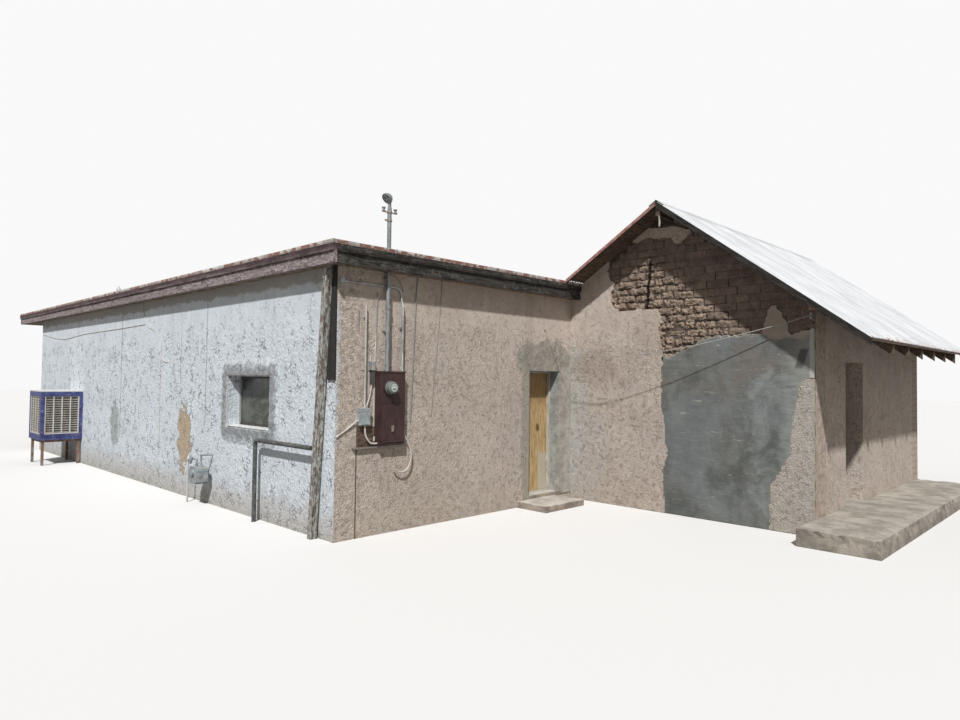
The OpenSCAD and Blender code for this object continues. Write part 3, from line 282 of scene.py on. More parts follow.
coat_relief, given = new_group("trowelled_coat", "Scale")
swirl = put("TexNoise", {"Vector": now.place, "Scale": 9.0, "Detail": 4.0}).outputs["Color"]
bent = vector("MULTIPLY_ADD", swirl, (0.13, 0.13, 0.13), now.place)[0]
cell_scale = times(given["Scale"], 11.0)
seams = put("TexVoronoi", {"Vector": bent, "Scale": cell_scale}, feature="DISTANCE_TO_EDGE").outputs[0]
broken = cloud(times(given["Scale"], 5.0), 4.0, 0.6)
lips = times(fade(seams, 0.01, 0.07), spread(broken, 0.535, 0.6))
lumps = cloud(times(given["Scale"], 14.0), 4.0, 0.55, place=bent)
dome = spread(seams, 0.0, 0.35)
height = plus(times(lumps, 0.65), times(dome, 0.12))
height = less(height, times(lips, 0.4))
send(Height=height, Lips=lips, Cloud=cloud(1.6, 8.0, 0.66))

streaks, given = new_group("rain_streaks", "Top", "Reach")
lanes = cloud(1.0, 5.0, 0.6, stretch=(9.0, 9.0, 0.5))
tall = axes()[2]
low = less(given["Top"], given["Reach"])
fall = put("MapRange", {"Value": tall, "From Min": low, "From Max": given["Top"]}).outputs[0]
ridge = spread(lanes, 0.5, 0.7)
send(Mask=calc("MULTIPLY", ridge, fall, clamp=True))

splash, given = new_group("soil_splash", "Reach")
tall = axes()[2]
broken = cloud(5.0, 7.0, 0.66)
edge = times(given["Reach"], times(broken, 1.6))
dimming = calc("SUBTRACT", 1.0, calc("DIVIDE", tall, edge), clamp=True)
send(Mask=calc("POWER", dimming, 0.7))


def stucco(name, main, pale, dull, lip_dust_and_shade, streak, soil, scale=1.0, depth=0.03, lips=1.0, wet=0.4,
           coarse_below=2.55):
    start(name)
    relief = use(coat_relief, Scale=scale)
    tall = plus(axes()[2], times(relief["Cloud"], 0.5))
    coarse = spread(tall, coarse_below + 0.2, coarse_below + 0.7, 1.0, 0.35)
    now.colour = shades(relief["Cloud"], dull, main, 0.34)
    fresh = cloud(11.0 * scale, 5.0, 0.65)
    paint(times(spread(fresh, 0.48, 0.68), coarse), pale, 0.7)
    # Low points of the relief and the lips between trowel strokes are painted dark: partly dust held there,
    # partly painted shade in the hollows.
    paint(spread(relief["Height"], 0.20, 0.40, 0.25 * lips, 0.0), lip_dust_and_shade, coarse)
    paint(times(relief["Lips"], coarse), lip_dust_and_shade, lips)
    paint(use(streaks, Top=3.44, Reach=2.2)["Mask"], streak, wet)
    paint(use(splash, Reach=0.6)["Mask"], soil, 0.7)
    height = times(relief["Height"], coarse)
    finish(0.93, height, depth, Specular_IOR_Level=0.2)
    return height


height = stucco(
    "limewashed_stucco", (0.655, 0.7, 0.74), (0.76, 0.8, 0.83), (0.58, 0.625, 0.67), (0.2, 0.21, 0.225),
    (0.42, 0.4, 0.39), (0.4, 0.35, 0.29), scale=1.3, depth=0.026, lips=0.8, wet=0.28,
)
x, y, z = axes()
wobble = times(less(cloud(1.4, 4.0), 0.5), 0.1)
lane = plus(x, wobble)
street = fade(y, -4.7, -4.6)
for where, low, high, dark in ((-7.75, 0.85, 3.42, 0.75), (-3.73, 1.3, 3.42, 0.6), (-4.75, 1.9, 3.2, 0.45)):
    line_mask = times(
        within(lane, where + near_corner.x, 0.012, 0.008),
        within(z, (low + high) / 2, (high - low) / 2, 0.12), dark,
    )
    paint(line_mask, (0.13, 0.12, 0.12), street)
drip = times(within(lane, -0.363, 0.011, 0.007), within(z, 1.5, 0.9, 0.2), 0.8)
paint(drip, (0.4, 0.31, 0.24))
stain = blot((-2.79, -5.035, 1.05), (0.26, 1.0, 0.55), 0.55, 8.0)
paint(stain, (0.22, 0.23, 0.22), 0.6)
# Band just under the eave painted darker: partly dirt, partly painted shade of the eave.
eave_dirt_and_shade = spread(plus(z, times(cloud(3.0, 6.0, 0.65), 0.25)), 3.36, 3.42)
paint(eave_dirt_and_shade, (0.3, 0.25, 0.2), 0.7)
bare = blot((0.735, -5.035, 0.98), (0.3, 1.0, 0.6), 0.45, 7.0)
earth = tint(cloud(30.0, 6.0, 0.7), (0.3, 0.235, 0.165), (0.6, 0.49, 0.365))
paint(bare, earth)
pink = shades(cloud(14.0, 7.0, 0.7), (0.42, 0.35, 0.295), (0.62, 0.54, 0.465), 0.36, 0.62)
at_corner = fade(plus(y, times(cloud(9.0, 6.0, 0.7), 0.22)), -4.92, -4.86)
limed = times(within(z, 2.1, 0.85, 0.15), at_corner)
pink = tint(limed, pink, (0.62, 0.64, 0.66))
joint = times(within(y, -4.716, 0.006, 0.004), within(z, 0.55, 0.57, 0.03), 0.9)
pink = tint(joint, pink, (0.09, 0.07, 0.06))
at_end = spread(x, 5.2845, 5.2865)
paint(at_end, pink)
height = less(height, times(bare, 0.5))
grain = use(coat_relief, Scale=2.9)["Height"]
grain = times(less(grain, height), at_end)
height = less(calc("MULTIPLY_ADD", grain, 0.9, height), joint)
finish(height=height, depth=0.026)
dress("front_wall", "recess_side_wall", "far_end_wall", "back_wall")

# Recess wall at the far end, set back under the roof: its coat is coloured grey as painted shade.
stucco(
    "shaded_grey_stucco", (0.4, 0.42, 0.43), (0.48, 0.5, 0.51), (0.3, 0.31, 0.32), (0.12, 0.12, 0.12),
    (0.24, 0.22, 0.2), (0.36, 0.29, 0.23),
)
dress("recess_wall")


# End wall and the gabled wing's long walls: adobe under a coarse sand render, cream over pink,
# darkened below the roof edge and bleached where rain splashes it.
def pink_render(name, scale=3.2, depth=0.030, pale=1.03):
    coats = (0.575, 0.495, 0.43), (0.72, 0.635, 0.56), (0.48, 0.40, 0.34), (0.24, 0.195, 0.165)
    coats = [tuple(pale * value for value in coat) for coat in coats]
    stucco(name, *coats, (0.34, 0.27, 0.22), (0.54, 0.46, 0.375), scale, depth, lips=0.05, wet=0.35)
    paint(spread(cloud(0.9, 4.0, 0.6), 0.52, 0.62), (0.50, 0.435, 0.41), 0.35)
    paint(spread(cloud(30.0, 6.0, 0.75), 0.55, 0.70), (0.25, 0.20, 0.165), 0.4)
    flakes = spread(cloud(26.0, 5.0, 0.7, stretch=(0.6, 0.6, 1.7)), 0.54, 0.70)
    paint(flakes, (0.80, 0.71, 0.62), 0.45)


pink_render("cream_render")
x, y, z = axes()
halo = blot((5.29, -0.95, 2.36), (0.4, 0.78, 0.36), 0.35, 5.0)
cement = tint(cloud(16.0, 6.0, 0.7), (0.17, 0.165, 0.14), (0.42, 0.4, 0.35))
worn_off = spread(cloud(7.0, 7.0, 0.7), 0.34, 0.6, 0.35, 0.9)
paint(halo, cement, worn_off)
jamb = blot((5.29, -1.42, 1.1), (0.4, 0.14, 1.6), 0.3, 6.0)
paint(jamb, cement, 0.6)
seam = times(within(y, -0.235, 0.01, 0.008), within(z, 3.2, 0.3, 0.1), 0.6)
paint(seam, (0.16, 0.12, 0.1))
finish()
dress(
    "end_wall_pier", "end_wall_lintel", "corner_pier", "shared_wall", "east_wall_near",
    "east_wall_lintel", "east_wall_far",
)


# Earth bricks of the gable: sun-dried adobe laid in mud, its joints washed back by rain. The
# courses are still neat under the roof and worn to lumps lower down. One brick is modelled and
# copied; the mud behind them is the wall itself.
def take(*pieces):
    bpy.ops.object.select_all(action="DESELECT")
    for piece in pieces:
        piece.select_set(True)
    bpy.context.view_layer.objects.active = pieces[0]


def named(name, scale=(1.0, 1.0, 1.0)):
    piece = bpy.context.object
    piece.name = name
    piece.scale = [size * more for size, more in zip(piece.scale, scale)]
    bpy.ops.object.transform_apply(location=True, rotation=True, scale=True)
    return piece


def new_block(name, low, high):
    low, high = Vector(low), Vector(high)
    bpy.ops.mesh.primitive_cube_add(size=1.0, location=(low + high) / 2, scale=high - low)
    return named(name)


def new_sheet(name, middle, wide, tall, columns, rows):
    bpy.ops.mesh.primitive_grid_add(
        x_subdivisions=columns, y_subdivisions=rows, size=1.0, location=middle,
        rotation=(math.pi / 2, 0, 0),
    )
    return named(name, (wide, tall, 1.0))


def merge(pieces, name):
    take(*pieces)
    bpy.ops.object.join()
    bpy.context.object.name = name
    return bpy.context.object


def slice_up(piece, axis, places):
    take(piece)
    direction = Vector([float(number == axis) for number in range(3)])
    bpy.ops.object.mode_set(mode="EDIT")
    for spot in places:
        bpy.ops.mesh.select_all(action="SELECT")
        bpy.ops.mesh.bisect(plane_co=direction * spot, plane_no=direction)
    bpy.ops.object.mode_set(mode="OBJECT")


def slice_evenly(piece, axis, low, long, parts):
    slice_up(piece, axis, [low + long * n / parts for n in range(1, parts)])


def slice_cells(piece, low, high, cell):
    for axis in range(3):
        long = high[axis] - low[axis]
        slice_evenly(piece, axis, low[axis], long, max(1, round(long / cell)))


def shape_with(piece, kind, **settings):
    take(piece)
    step = piece.modifiers.new(kind, kind)
    for key, value in settings.items():
        setattr(step, key, value)
    bpy.ops.object.modifier_apply(modifier=step.name)


def soften(piece, width, segments, degrees):
    angle = math.radians(degrees)
    shape_with(piece, "BEVEL", width=width, segments=segments, limit_method="ANGLE", angle_limit=angle)


def roughen(piece, name, size, octaves, strength, level=0.5, **others):
    clouds = bpy.data.textures.new(name, "CLOUDS")
    clouds.noise_scale, clouds.noise_depth = size, octaves
    shape_with(piece, "DISPLACE", texture=clouds, strength=strength, mid_level=level, **others)


def cut_off(piece, point, outward, fill=False):
    take(piece)
    bpy.ops.object.mode_set(mode="EDIT")
    bpy.ops.mesh.select_all(action="SELECT")
    bpy.ops.mesh.bisect(plane_co=point, plane_no=outward, clear_outer=True, use_fill=fill)
    bpy.ops.object.mode_set(mode="OBJECT")


def settle(piece, material=None, replaces=None):
    piece.data.materials.clear()
    piece.data.materials.append(material or now.material)
    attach(piece, "root")
    if replaces:
        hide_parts(replaces)


def holds(outline, x, z):
    inside = False
    for (ax, az), (bx, bz) in zip(outline, outline[1:] + outline[:1]):
        if (az > z) != (bz > z) and x < ax + (z - az) * (bx - ax) / (bz - az):
            inside = not inside
    return inside


render_outline = [
    (-0.1, -0.1), (1.83, -0.1), (1.80, 0.5), (1.86, 0.95), (1.79, 1.5), (1.75, 1.95), (1.78, 2.44),
    (1.70, 2.86), (1.785, 2.957), (1.722, 3.085), (1.65, 3.165), (1.38, 3.17),
    (1.158, 3.158), (0.946, 3.177), (0.821, 3.338), (0.827, 3.517), (0.889, 3.56), (0.865, 3.627),
    (0.786, 3.741), (0.762, 3.824), (0.75, 3.96), (0.70, 4.20), (-0.1, 4.20),
]
corner_outline = [
    (3.4, -0.1), (3.42, 0.64), (3.52, 0.80), (3.68, 1.06), (3.72, 1.5), (3.80, 1.95), (3.84, 2.08),
    (4.1, 2.08), (4.1, -0.1),
]
cement_outline = [
    (1.80, -0.1), (3.43, -0.1), (3.45, 0.62), (3.55, 0.78), (3.71, 1.04), (3.75, 1.48), (3.83, 1.93),
    (3.87, 2.06), (4.1, 2.08), (4.1, 2.74), (3.9, 2.76), (3.7, 2.70), (3.63, 2.90), (3.57, 3.03),
    (3.50, 3.11), (3.44, 3.10), (3.36, 2.96), (3.30, 2.76), (3.29, 2.72), (2.90, 2.70), (2.46, 2.68),
    (2.14, 2.54), (1.88, 2.40), (1.78, 2.44), (1.72, 1.95), (1.76, 1.5), (1.83, 0.95), (1.77, 0.5),
]
ridge_outline = [
    (1.167, 4.346), (1.337, 4.453), (1.582, 4.46), (1.997, 4.425), (2.21, 4.345), (2.25, 4.30),
    (2.197, 4.254), (2.118, 4.191), (2.085, 4.14), (1.999, 4.151), (1.958, 4.188), (1.903, 4.258),
    (1.849, 4.271), (1.696, 4.28), (1.526, 4.31), (1.44, 4.296), (1.294, 4.257), (1.212, 4.268),
]
coats = (render_outline, corner_outline, cement_outline, ridge_outline)
east_slope, west_slope = math.radians(36.6), math.radians(31.3)
east_outward = Vector((math.sin(east_slope), 0.0, math.cos(east_slope)))
west_outward = Vector((-math.sin(west_slope), 0.0, math.cos(west_slope)))
gable_wide, ridge_x, ridge_z = 4.0, 1.9, 4.76
under_ridge = at(ridge_x, 4.8, ridge_z)

earth_coat = start("bare_adobe")
tone = put("Attribute", attribute_name="tone").outputs["Fac"]
clods = cloud(11.0, 9.0, 0.72)
washed = cloud(2.1, 6.0, 0.62)
mud = shades(clods, (0.075, 0.059, 0.05), (0.155, 0.12, 0.1), 0.34, 0.66)
old = shades(clods, (0.125, 0.096, 0.082), (0.2, 0.155, 0.135), 0.34, 0.66)
fresh_earth = shades(clods, (0.2, 0.155, 0.12), (0.44, 0.34, 0.26))
# Bricks with a high tone, the worn ones below the roof's shadow line, take the lighter earth: partly fresh
# broken adobe, partly painted light.
now.colour = tint(tone, old, fresh_earth)
paint(spread(washed, 0.42, 0.62), (0.16, 0.125, 0.105), 0.3)
now.colour = shades(tone, mud, now.colour, 0.0, 0.03)
straw = spread(cloud(60.0, 3.0, 0.6, stretch=(0.4, 1.0, 2.6)), 0.66, 0.72)
paint(straw, (0.42, 0.34, 0.26), 0.4)
x, y, z = axes()
wander = times(less(cloud(7.0, 4.0), 0.5), 0.07)
crack_lane = plus(less(x, times(z, 0.093)), wander)
crack = times(within(crack_lane, 6.463, 0.022, 0.01), within(z, 3.55, 0.38, 0.06))
paint(crack, (0.03, 0.02, 0.016))
skim = shades(clods, (0.38, 0.31, 0.255), (0.55, 0.46, 0.385))
at_corner = spread(x, 9.2865, 9.2873)
paint(at_corner, skim)
finish(0.97, less(clods, crack), 0.03, Specular_IOR_Level=0.1)
dress("gable_wall")

start("laid_adobe")
x, y, z = axes()
sway = times(cloud(4.0, 3.0), 0.03)
wall_plane = put("CombineXYZ", {0: plus(x, y), 1: plus(z, sway)}).outputs[0]
courses = put(
    "TexBrick",
    {
        "Vector": wall_plane, "Color1": (0.13, 0.1, 0.085, 1.0), "Color2": (0.24, 0.185, 0.15, 1.0),
        "Mortar": (0.075, 0.058, 0.048, 1.0), "Scale": 1.0, "Mortar Size": 0.006, "Mortar Smooth": 0.6,
        "Brick Width": 0.335, "Row Height": 0.118,
    },
).outputs
clods = cloud(11.0, 9.0, 0.72)
now.colour = tint(spread(clods, 0.36, 0.66, 0.0, 0.7), courses["Color"], (0.27, 0.21, 0.17))
at_corner = spread(x, 9.2865, 9.2873)
paint(at_corner, tint(clods, (0.38, 0.31, 0.255), (0.55, 0.46, 0.385)))
finish(0.97, less(clods, courses["Fac"]), 0.02, Specular_IOR_Level=0.1)
dress("gable_back_wall")

course_high, brick_step, face = 0.118, 0.335, 4.803
brick_long, brick_high, brick_middle = 0.318, 0.104, 0.156
pattern = new_block("pattern_brick", at(0, face, 0), at(brick_long, face + 0.05, brick_high))
slice_evenly(pattern, 0, near_corner.x, brick_long, 16)
slice_evenly(pattern, 2, 0.0, brick_high, 6)
bricks = []


def lay_brick(left, base, share, wear):
    copy = new_object("brick", pattern.data.copy())
    for vertex in copy.data.vertices:
        spot = vertex.co - near_corner
        rim = min(spot.x, brick_long - spot.x, spot.z, brick_high - spot.z)
        if spot.y < face + 0.001 and rim < 0.021:
            vertex.co.y += 0.003 + 0.016 * wear if rim < 0.001 else 0.0005 + 0.006 * wear
    settling = turned(chance.uniform(-1, 1) * (0.3 + 6.0 * wear), "Y")
    wide = share * (chance.uniform(1.015, 1.045) - 0.09 * wear)
    tall = chance.uniform(1.085, 1.115) - 0.19 * wear
    back = chance.uniform(0.002, 0.005) * (1.0 - wear) + wear * chance.uniform(-0.012, 0.020)
    middle = Vector((brick_middle, 0.0, 0.05))
    laid_at = at(left + brick_middle * share, back, base) + Vector((0.0, 0.0, 0.05))
    copy.data.transform(
        Matrix.Translation(laid_at) @ settling @ Matrix.Diagonal((wide, 1.0, tall, 1.0))
        @ Matrix.Translation(-middle - near_corner)
    )
    # Worn bricks get a higher tone and so a lighter colour; since the worn zone lies below the roof's
    # shadow line, this is partly painted light.
    tone = 0.12 + chance.uniform(0.0, 0.25) + 0.65 * wear
    count = len(copy.data.vertices)
    copy.data.attributes.new("tone", "FLOAT", "POINT").data.foreach_set("value", [tone] * count)
    copy.vertex_groups.new(name="worn").add(range(count), wear, "REPLACE")
    bricks.append(copy)


for course in range(19):
    base = 2.36 + course * course_high
    first = 0.62 + (course % 2) * brick_step / 2 + chance.uniform(-0.03, 0.03)
    for step in range(11):
        left = first + step * brick_step + chance.uniform(-0.007, 0.007)
        mid_x, mid_z = left + brick_middle, base + 0.05
        if left > 3.9:
            continue
        corners = [(mid_x + dx, mid_z + dz) for dx in (-0.26, 0, 0.26) for dz in (-0.12, 0, 0.12)]
        if all(any(holds(outline, *corner) for outline in coats) for corner in corners):
            continue
        from_ridge = at(mid_x, 4.8, base) - under_ridge
        if max(from_ridge.dot(east_outward), from_ridge.dot(west_outward)) > -0.09:
            continue
        if abs(mid_x - ridge_x) < 0.2 and mid_z > 4.48:
            continue
        # Line of the roof's shadow across the gable; bricks below it are worn, and lighter in colour,
        # partly as painted light.
        shadow_edge = 4.10 - (0.828 * (mid_x - 1.53) if mid_x > 1.53 else 0.57 * (1.53 - mid_x))
        wear = min(1.0, max(0.0, (shadow_edge - mid_z + 0.10) / 0.45))
        if wear > 0.8 and mid_x > 1.45 and chance.random() < 0.65:
            split = chance.uniform(0.32, 0.68)
            lay_brick(left, base + chance.uniform(-0.016, 0.016), split - 0.02, wear)
            lay_brick(left + brick_long * split, base + chance.uniform(-0.018, 0.018), 0.98 - split, wear)
        else:
            lay_brick(left, base, 1.0, wear)
bpy.data.objects.remove(pattern)
gable_bricks = merge(bricks, "gable_bricks")
roughen(gable_bricks, "rain_wear", 0.045, 4, 0.008)
roughen(gable_bricks, "erosion", 0.036, 5, 0.082, vertex_group="worn")
for vertex in gable_bricks.data.vertices:
    vertex.co.y = max(vertex.co.y, near_corner.y + 4.784)
cut_off(gable_bricks, under_ridge - east_outward * 0.052, east_outward, fill=True)
cut_off(gable_bricks, under_ridge - west_outward * 0.052, west_outward, fill=True)
cut_off(gable_bricks, at(3.999, 0, 0), (1, 0, 0), fill=True)
take(gable_bricks)
bpy.ops.object.shade_smooth_by_angle(angle=math.radians(36))
settle(gable_bricks, earth_coat)


# Coats left on the gable: a pink sand render on the left and at the corner, grey cement thrown
# on in between, and a strip of lime plaster under the ridge. Each is a sheet of wet stuff with
# a broken, ragged rim, thick enough to throw a shadow on the bricks.
def drop_picked_faces():
    bpy.ops.object.mode_set(mode="EDIT")
    bpy.ops.mesh.select_mode(type="FACE")
    bpy.ops.mesh.delete(type="FACE")
    bpy.ops.mesh.select_mode(type="VERT")
    bpy.ops.object.mode_set(mode="OBJECT")


def ragged_coat(name, outlines, cell, front=4.776, thick=0.06, wander=1.0, seed=0.0, waves=0.012):
    xs = [x for outline in outlines for x, z in outline]
    zs = [z for outline in outlines for x, z in outline]
    low_x, high_x = max(min(xs) - 0.1, 0.0), min(max(xs) + 0.1, gable_wide)
    low_z, high_z = max(min(zs) - 0.1, 0.0), max(zs) + 0.1
    wide, tall = high_x - low_x, high_z - low_z
    middle = at((low_x + high_x) / 2, front, (low_z + high_z) / 2)
    piece = new_sheet(name, middle, wide, tall, round(wide / cell), round(tall / cell))
    cut_off(piece, under_ridge - east_outward * 0.05, east_outward)
    cut_off(piece, under_ridge - west_outward * 0.05, west_outward)
    for face in piece.data.polygons:
        spot = face.center - near_corner
        where = Vector((spot.x, spot.z, seed))
        drift = noise.noise_vector(where * 3.0) * 0.034 + noise.noise_vector(where * 14.0) * 0.022
        drift = (drift + noise.noise_vector(where * 42.0) * 0.020) * wander
        face.select = not any(holds(outline, spot.x + drift.x, spot.z + drift.y) for outline in outlines)
    drop_picked_faces()
    bpy.ops.object.mode_set(mode="EDIT")
    bpy.ops.mesh.select_all(action="DESELECT")
    bpy.ops.mesh.select_non_manifold(
        extend=False, use_wire=False, use_boundary=True, use_multi_face=False,
        use_non_contiguous=False, use_verts=False,
    )
    bpy.ops.object.mode_set(mode="OBJECT")
    for vertex in piece.data.vertices:
        spot = vertex.co - near_corner
        if spot.x < 0.01 or spot.x > 3.99 or spot.z < 0.01:
            vertex.select = False
    broken = piece.data.attributes.new("broken", "FLOAT", "POINT")
    broken.data.foreach_set("value", [float(vertex.select) for vertex in piece.data.vertices])
    bpy.ops.object.mode_set(mode="EDIT")
    bpy.ops.mesh.vertices_smooth(factor=0.5, repeat=1)
    bpy.ops.mesh.select_all(action="SELECT")
    bpy.ops.mesh.delete_loose(use_verts=True, use_edges=True, use_faces=False)
    bpy.ops.object.mode_set(mode="OBJECT")
    roughen(piece, name + "_lumps", 0.12, 4, waves)
    shape_with(piece, "SOLIDIFY", thickness=thick, offset=-1.0, use_even_offset=False)
    soften(piece, 0.006, 1, 50)
    for vertex in piece.data.vertices:
        vertex.co.z = max(vertex.co.z, 0.0)
        vertex.co.x = min(max(vertex.co.x, near_corner.x), near_corner.x + gable_wide)
    return piece


def broken_rim(pale):
    facing = calc("ABSOLUTE", axes(put("NewGeometry").outputs["True Normal"])[1])
    near_rim = put("Attribute", attribute_name="broken").outputs["Fac"]
    crumbs = spread(cloud(26.0, 4.0, 0.65), 0.42, 0.56)
    paint(calc("MAXIMUM", fade(facing, 0.5, 0.9), times(near_rim, crumbs)), pale, 0.7)


pink_render("gable_render", 3.5, 0.036, 0.95)
x, y, z = axes()
speck = cloud(22.0, 7.0, 0.72)
flank = blot((5.35, -0.24, 1.5), (0.3, 1.0, 1.3), 0.35, 6.0)
paint(flank, (0.5, 0.5, 0.47), spread(speck, 0.38, 0.6))
bleached = blot((5.62, -0.24, 0.75), (0.5, 1.0, 0.85), 0.3, 3.0)
paint(bleached, (0.5, 0.465, 0.445), 0.45)
bruise = blot((5.75, -0.24, 2.25), (0.5, 1.0, 0.35), 0.4, 4.0)
paint(bruise, (0.3, 0.23, 0.18), 0.35)
corner_lime = spread(plus(x, times(speck, 0.3)), 8.75, 9.05)
paint(corner_lime, (0.44, 0.42, 0.38), 0.6)
broken_rim((0.56, 0.46, 0.36))
finish()
gable_render = ragged_coat("gable_render", (render_outline, corner_outline), 0.024, seed=3.1)
settle(gable_render, replaces="gable_stucco")

start("trowelled_cement")
x, y, z = axes()
swept = cloud(2.6, 7.0, 0.62, stretch=(1.0, 1.0, 0.55), bend=0.6)
strokes = cloud(7.0, 8.0, 0.7, stretch=(0.45, 1.0, 1.6), bend=0.8)
grit = cloud(120.0, 4.0, 0.6)
now.colour = shades(swept, (0.102, 0.107, 0.1), (0.165, 0.171, 0.161), 0.38, 0.64)
paint(spread(strokes, 0.46, 0.72), (0.23, 0.235, 0.22), 0.3)
cold = spread(cloud(1.1, 5.0, 0.6), 0.5, 0.6)
paint(cold, (0.21, 0.225, 0.235), 0.4)
brown = spread(cloud(1.7, 4.0, 0.6), 0.55, 0.64)
paint(times(brown, spread(z, 1.6, 2.1), 0.6), (0.175, 0.15, 0.13))
east_edge = spread(plus(x, times(strokes, 0.5)), 9.05, 9.45)
paint(east_edge, (0.35, 0.345, 0.31), 0.6)
scratch = spread(cloud(18.0, 3.0, 0.6, stretch=(0.25, 1.0, 2.0), bend=1.5), 0.66, 0.7)
paint(scratch, (0.45, 0.44, 0.39), 0.6)
fin = blot((8.95, -0.24, 2.88), (0.5, 1.0, 0.28), 0.25, 5.0)
paint(fin, tint(strokes, (0.32, 0.26, 0.21), (0.5, 0.42, 0.35)), 0.8)
smeared = blot((8.76, -0.24, 1.15), (0.4, 1.0, 1.2), 0.6, 2.5)
smeared = times(smeared, spread(swept, 0.36, 0.6), spread(strokes, 0.2, 0.5))
paint(smeared, (0.26, 0.28, 0.27), 0.6)
edge_lime = spread(plus(x, times(strokes, 0.06)), 9.25, 9.27)
paint(times(edge_lime, spread(z, 1.9, 2.1), 0.8), (0.47, 0.48, 0.46))
slant = less(x, times(z, 0.28))
bruise = times(within(plus(slant, times(grit, 0.02)), 8.475, 0.055, 0.02), within(z, 2.36, 0.13, 0.03))
paint(bruise, (0.075, 0.075, 0.08), 0.85)
broken_rim((0.47, 0.44, 0.38))
rough = plus(times(strokes, 0.8), times(grit, 0.08))
finish(0.88, rough, 0.011, Specular_IOR_Level=0.25)
gable_patch = ragged_coat("gable_patch", (cement_outline,), 0.026, 4.781, 0.055, seed=8.4, waves=0.010)
settle(gable_patch, replaces="gable_cement")

stucco(
    "lime_plaster", (0.5, 0.42, 0.355), (0.58, 0.5, 0.43), (0.38, 0.315, 0.265), (0.15, 0.11, 0.09),
    (0.24, 0.18, 0.14), (0.4, 0.3, 0.2), scale=1.3, depth=0.012, lips=0.4, wet=0.3, coarse_below=9.0,
)
broken_rim((0.52, 0.43, 0.35))
finish()
ridge_coat = ragged_coat("ridge_coat", (ridge_outline,), 0.014, thick=0.06, wander=0.5, seed=1.7)
settle(ridge_coat, replaces="ridge_plaster")


# Front doorway: its reveal and the wall beside it are lined with smooth grey cement, gone tan
# beside the jamb and speckled white further out.
start("doorway_cement")
x, y, z = axes()
mottle = cloud(6.0, 8.0, 0.68)
now.colour = shades(mottle, (0.22, 0.225, 0.21), (0.37, 0.37, 0.345))
on_face = spread(x, 5.2885, 5.2905)
tan_strip = shades(mottle, (0.3, 0.265, 0.22), (0.45, 0.405, 0.345))
paint(on_face, tan_strip)
speck = cloud(24.0, 7.0, 0.75)
outer = times(on_face, spread(plus(y, times(mottle, 0.1)), -0.4, -0.34))
paint(outer, (0.44, 0.44, 0.42), spread(speck, 0.42, 0.6))
pock = spread(cloud(26.0, 4.0, 0.6), 0.66, 0.7)
paint(pock, (0.08, 0.08, 0.08), 0.8)
smear = spread(cloud(5.0, 5.0, 0.6, stretch=(1.0, 1.0, 0.3)), 0.62, 0.7)
paint(smear, (0.56, 0.56, 0.53), 0.7)
finish(0.85, plus(mottle, times(speck, 0.4)), 0.012)
dress("door_surround")


# Window collar: cement banked up round the opening by hand, thick and soft at the reveal and
# feathered out over the white coat, with a sill bedded in it.
hole_low, hole_high = (-2.92, 1.27), (-1.62, 2.03)
window_x, window_z = 3.0175, 1.65
collar = new_sheet("window_collar", at(-2.27, 0.0, window_z), 2.02, 1.47, 96, 70)
for side_axis, low, high in ((0, hole_low[0], hole_high[0]), (2, hole_low[1], hole_high[1])):
    slice_up(collar, side_axis, [near_corner[side_axis] + low, near_corner[side_axis] + high])


def from_window(spot):
    dx = max(hole_low[0] - spot.x, spot.x - hole_high[0])
    dz = max(hole_low[1] - spot.z, spot.z - hole_high[1])
    return math.hypot(dx, dz) if min(dx, dz) > 0 else max(dx, dz)


for face in collar.data.polygons:
    spot = face.center - near_corner
    far = from_window(spot)
    edge = 0.25 + 0.05 * noise.noise(spot * 4.0) + 0.02 * noise.noise(spot * 15.0)
    face.select = far < 0.0 or far > edge
drop_picked_faces()
for vertex in collar.data.vertices:
    spot = vertex.co - near_corner
    far = max(0.0, from_window(spot))
    bank = 0.032 * (1.0 - (far / 0.27) ** 2) if far < 0.27 else 0.0
    lump = 0.007 * noise.noise(spot * 9.0) + 0.003 * noise.noise(spot * 30.0)
    rounding = -0.010 if far < 0.004 else 0.0
    vertex.co.y = near_corner.y + 0.002 - max(0.0, bank + (lump if bank > 0.004 else 0.0) + rounding)
shape_with(collar, "SOLIDIFY", thickness=0.030, offset=-1.0)
soften(collar, 0.005, 2, 55)
start("window_cement")
x, y, z = axes()
side = less(calc("ABSOLUTE", less(x, window_x)), 0.65)
rise = less(calc("ABSOLUTE", less(z, window_z)), 0.38)
far = calc("MAXIMUM", side, rise)
ragged = cloud(13.0, 7.0, 0.72)
far = plus(far, times(less(ragged, 0.5), 0.34))
core = shades(ragged, (0.23, 0.24, 0.25), (0.42, 0.44, 0.46), 0.34, 0.66)
limed = shades(ragged, (0.54, 0.58, 0.62), (0.7, 0.735, 0.765), 0.4, 0.62)
now.colour = shades(far, core, limed, 0.1, 0.25)
# Dark line along the head of the opening: partly dirt, partly painted shade under the head.
dirty_shaded_head = times(within(z, 2.045, 0.035, 0.02), within(x, window_x, 0.75, 0.1))
paint(dirty_shaded_head, (0.26, 0.22, 0.22), 0.5)
# Pale strip on the west reveal: painted light, where the sun falls on that side.
inside = within(x, 2.38, 0.022, 0.01)
paint(times(inside, within(z, window_z, 0.4, 0.05), 0.7), (0.66, 0.67, 0.66))
finish(0.92, ragged, 0.03, Specular_IOR_Level=0.2)
settle(collar, replaces="window_surround")

sill = new_block("window_sill", at(-2.915, -0.030, 1.2705), at(-1.625, 0.165, 1.290))
slice_evenly(sill, 0, near_corner.x - 2.915, 1.29, 40)
slice_up(sill, 1, [near_corner.y + spot for spot in (0.0, 0.05, 0.11)])
soften(sill, 0.005, 2, 50)
roughen(sill, "sill_lumps", 0.05, 3, 0.006, 0.6)
start("limed_sill")
ragged = cloud(14.0, 7.0, 0.7)
now.colour = shades(ragged, (0.5, 0.5, 0.48), (0.76, 0.77, 0.77), 0.36, 0.6)
finish(0.9, ragged, 0.008)
settle(sill)


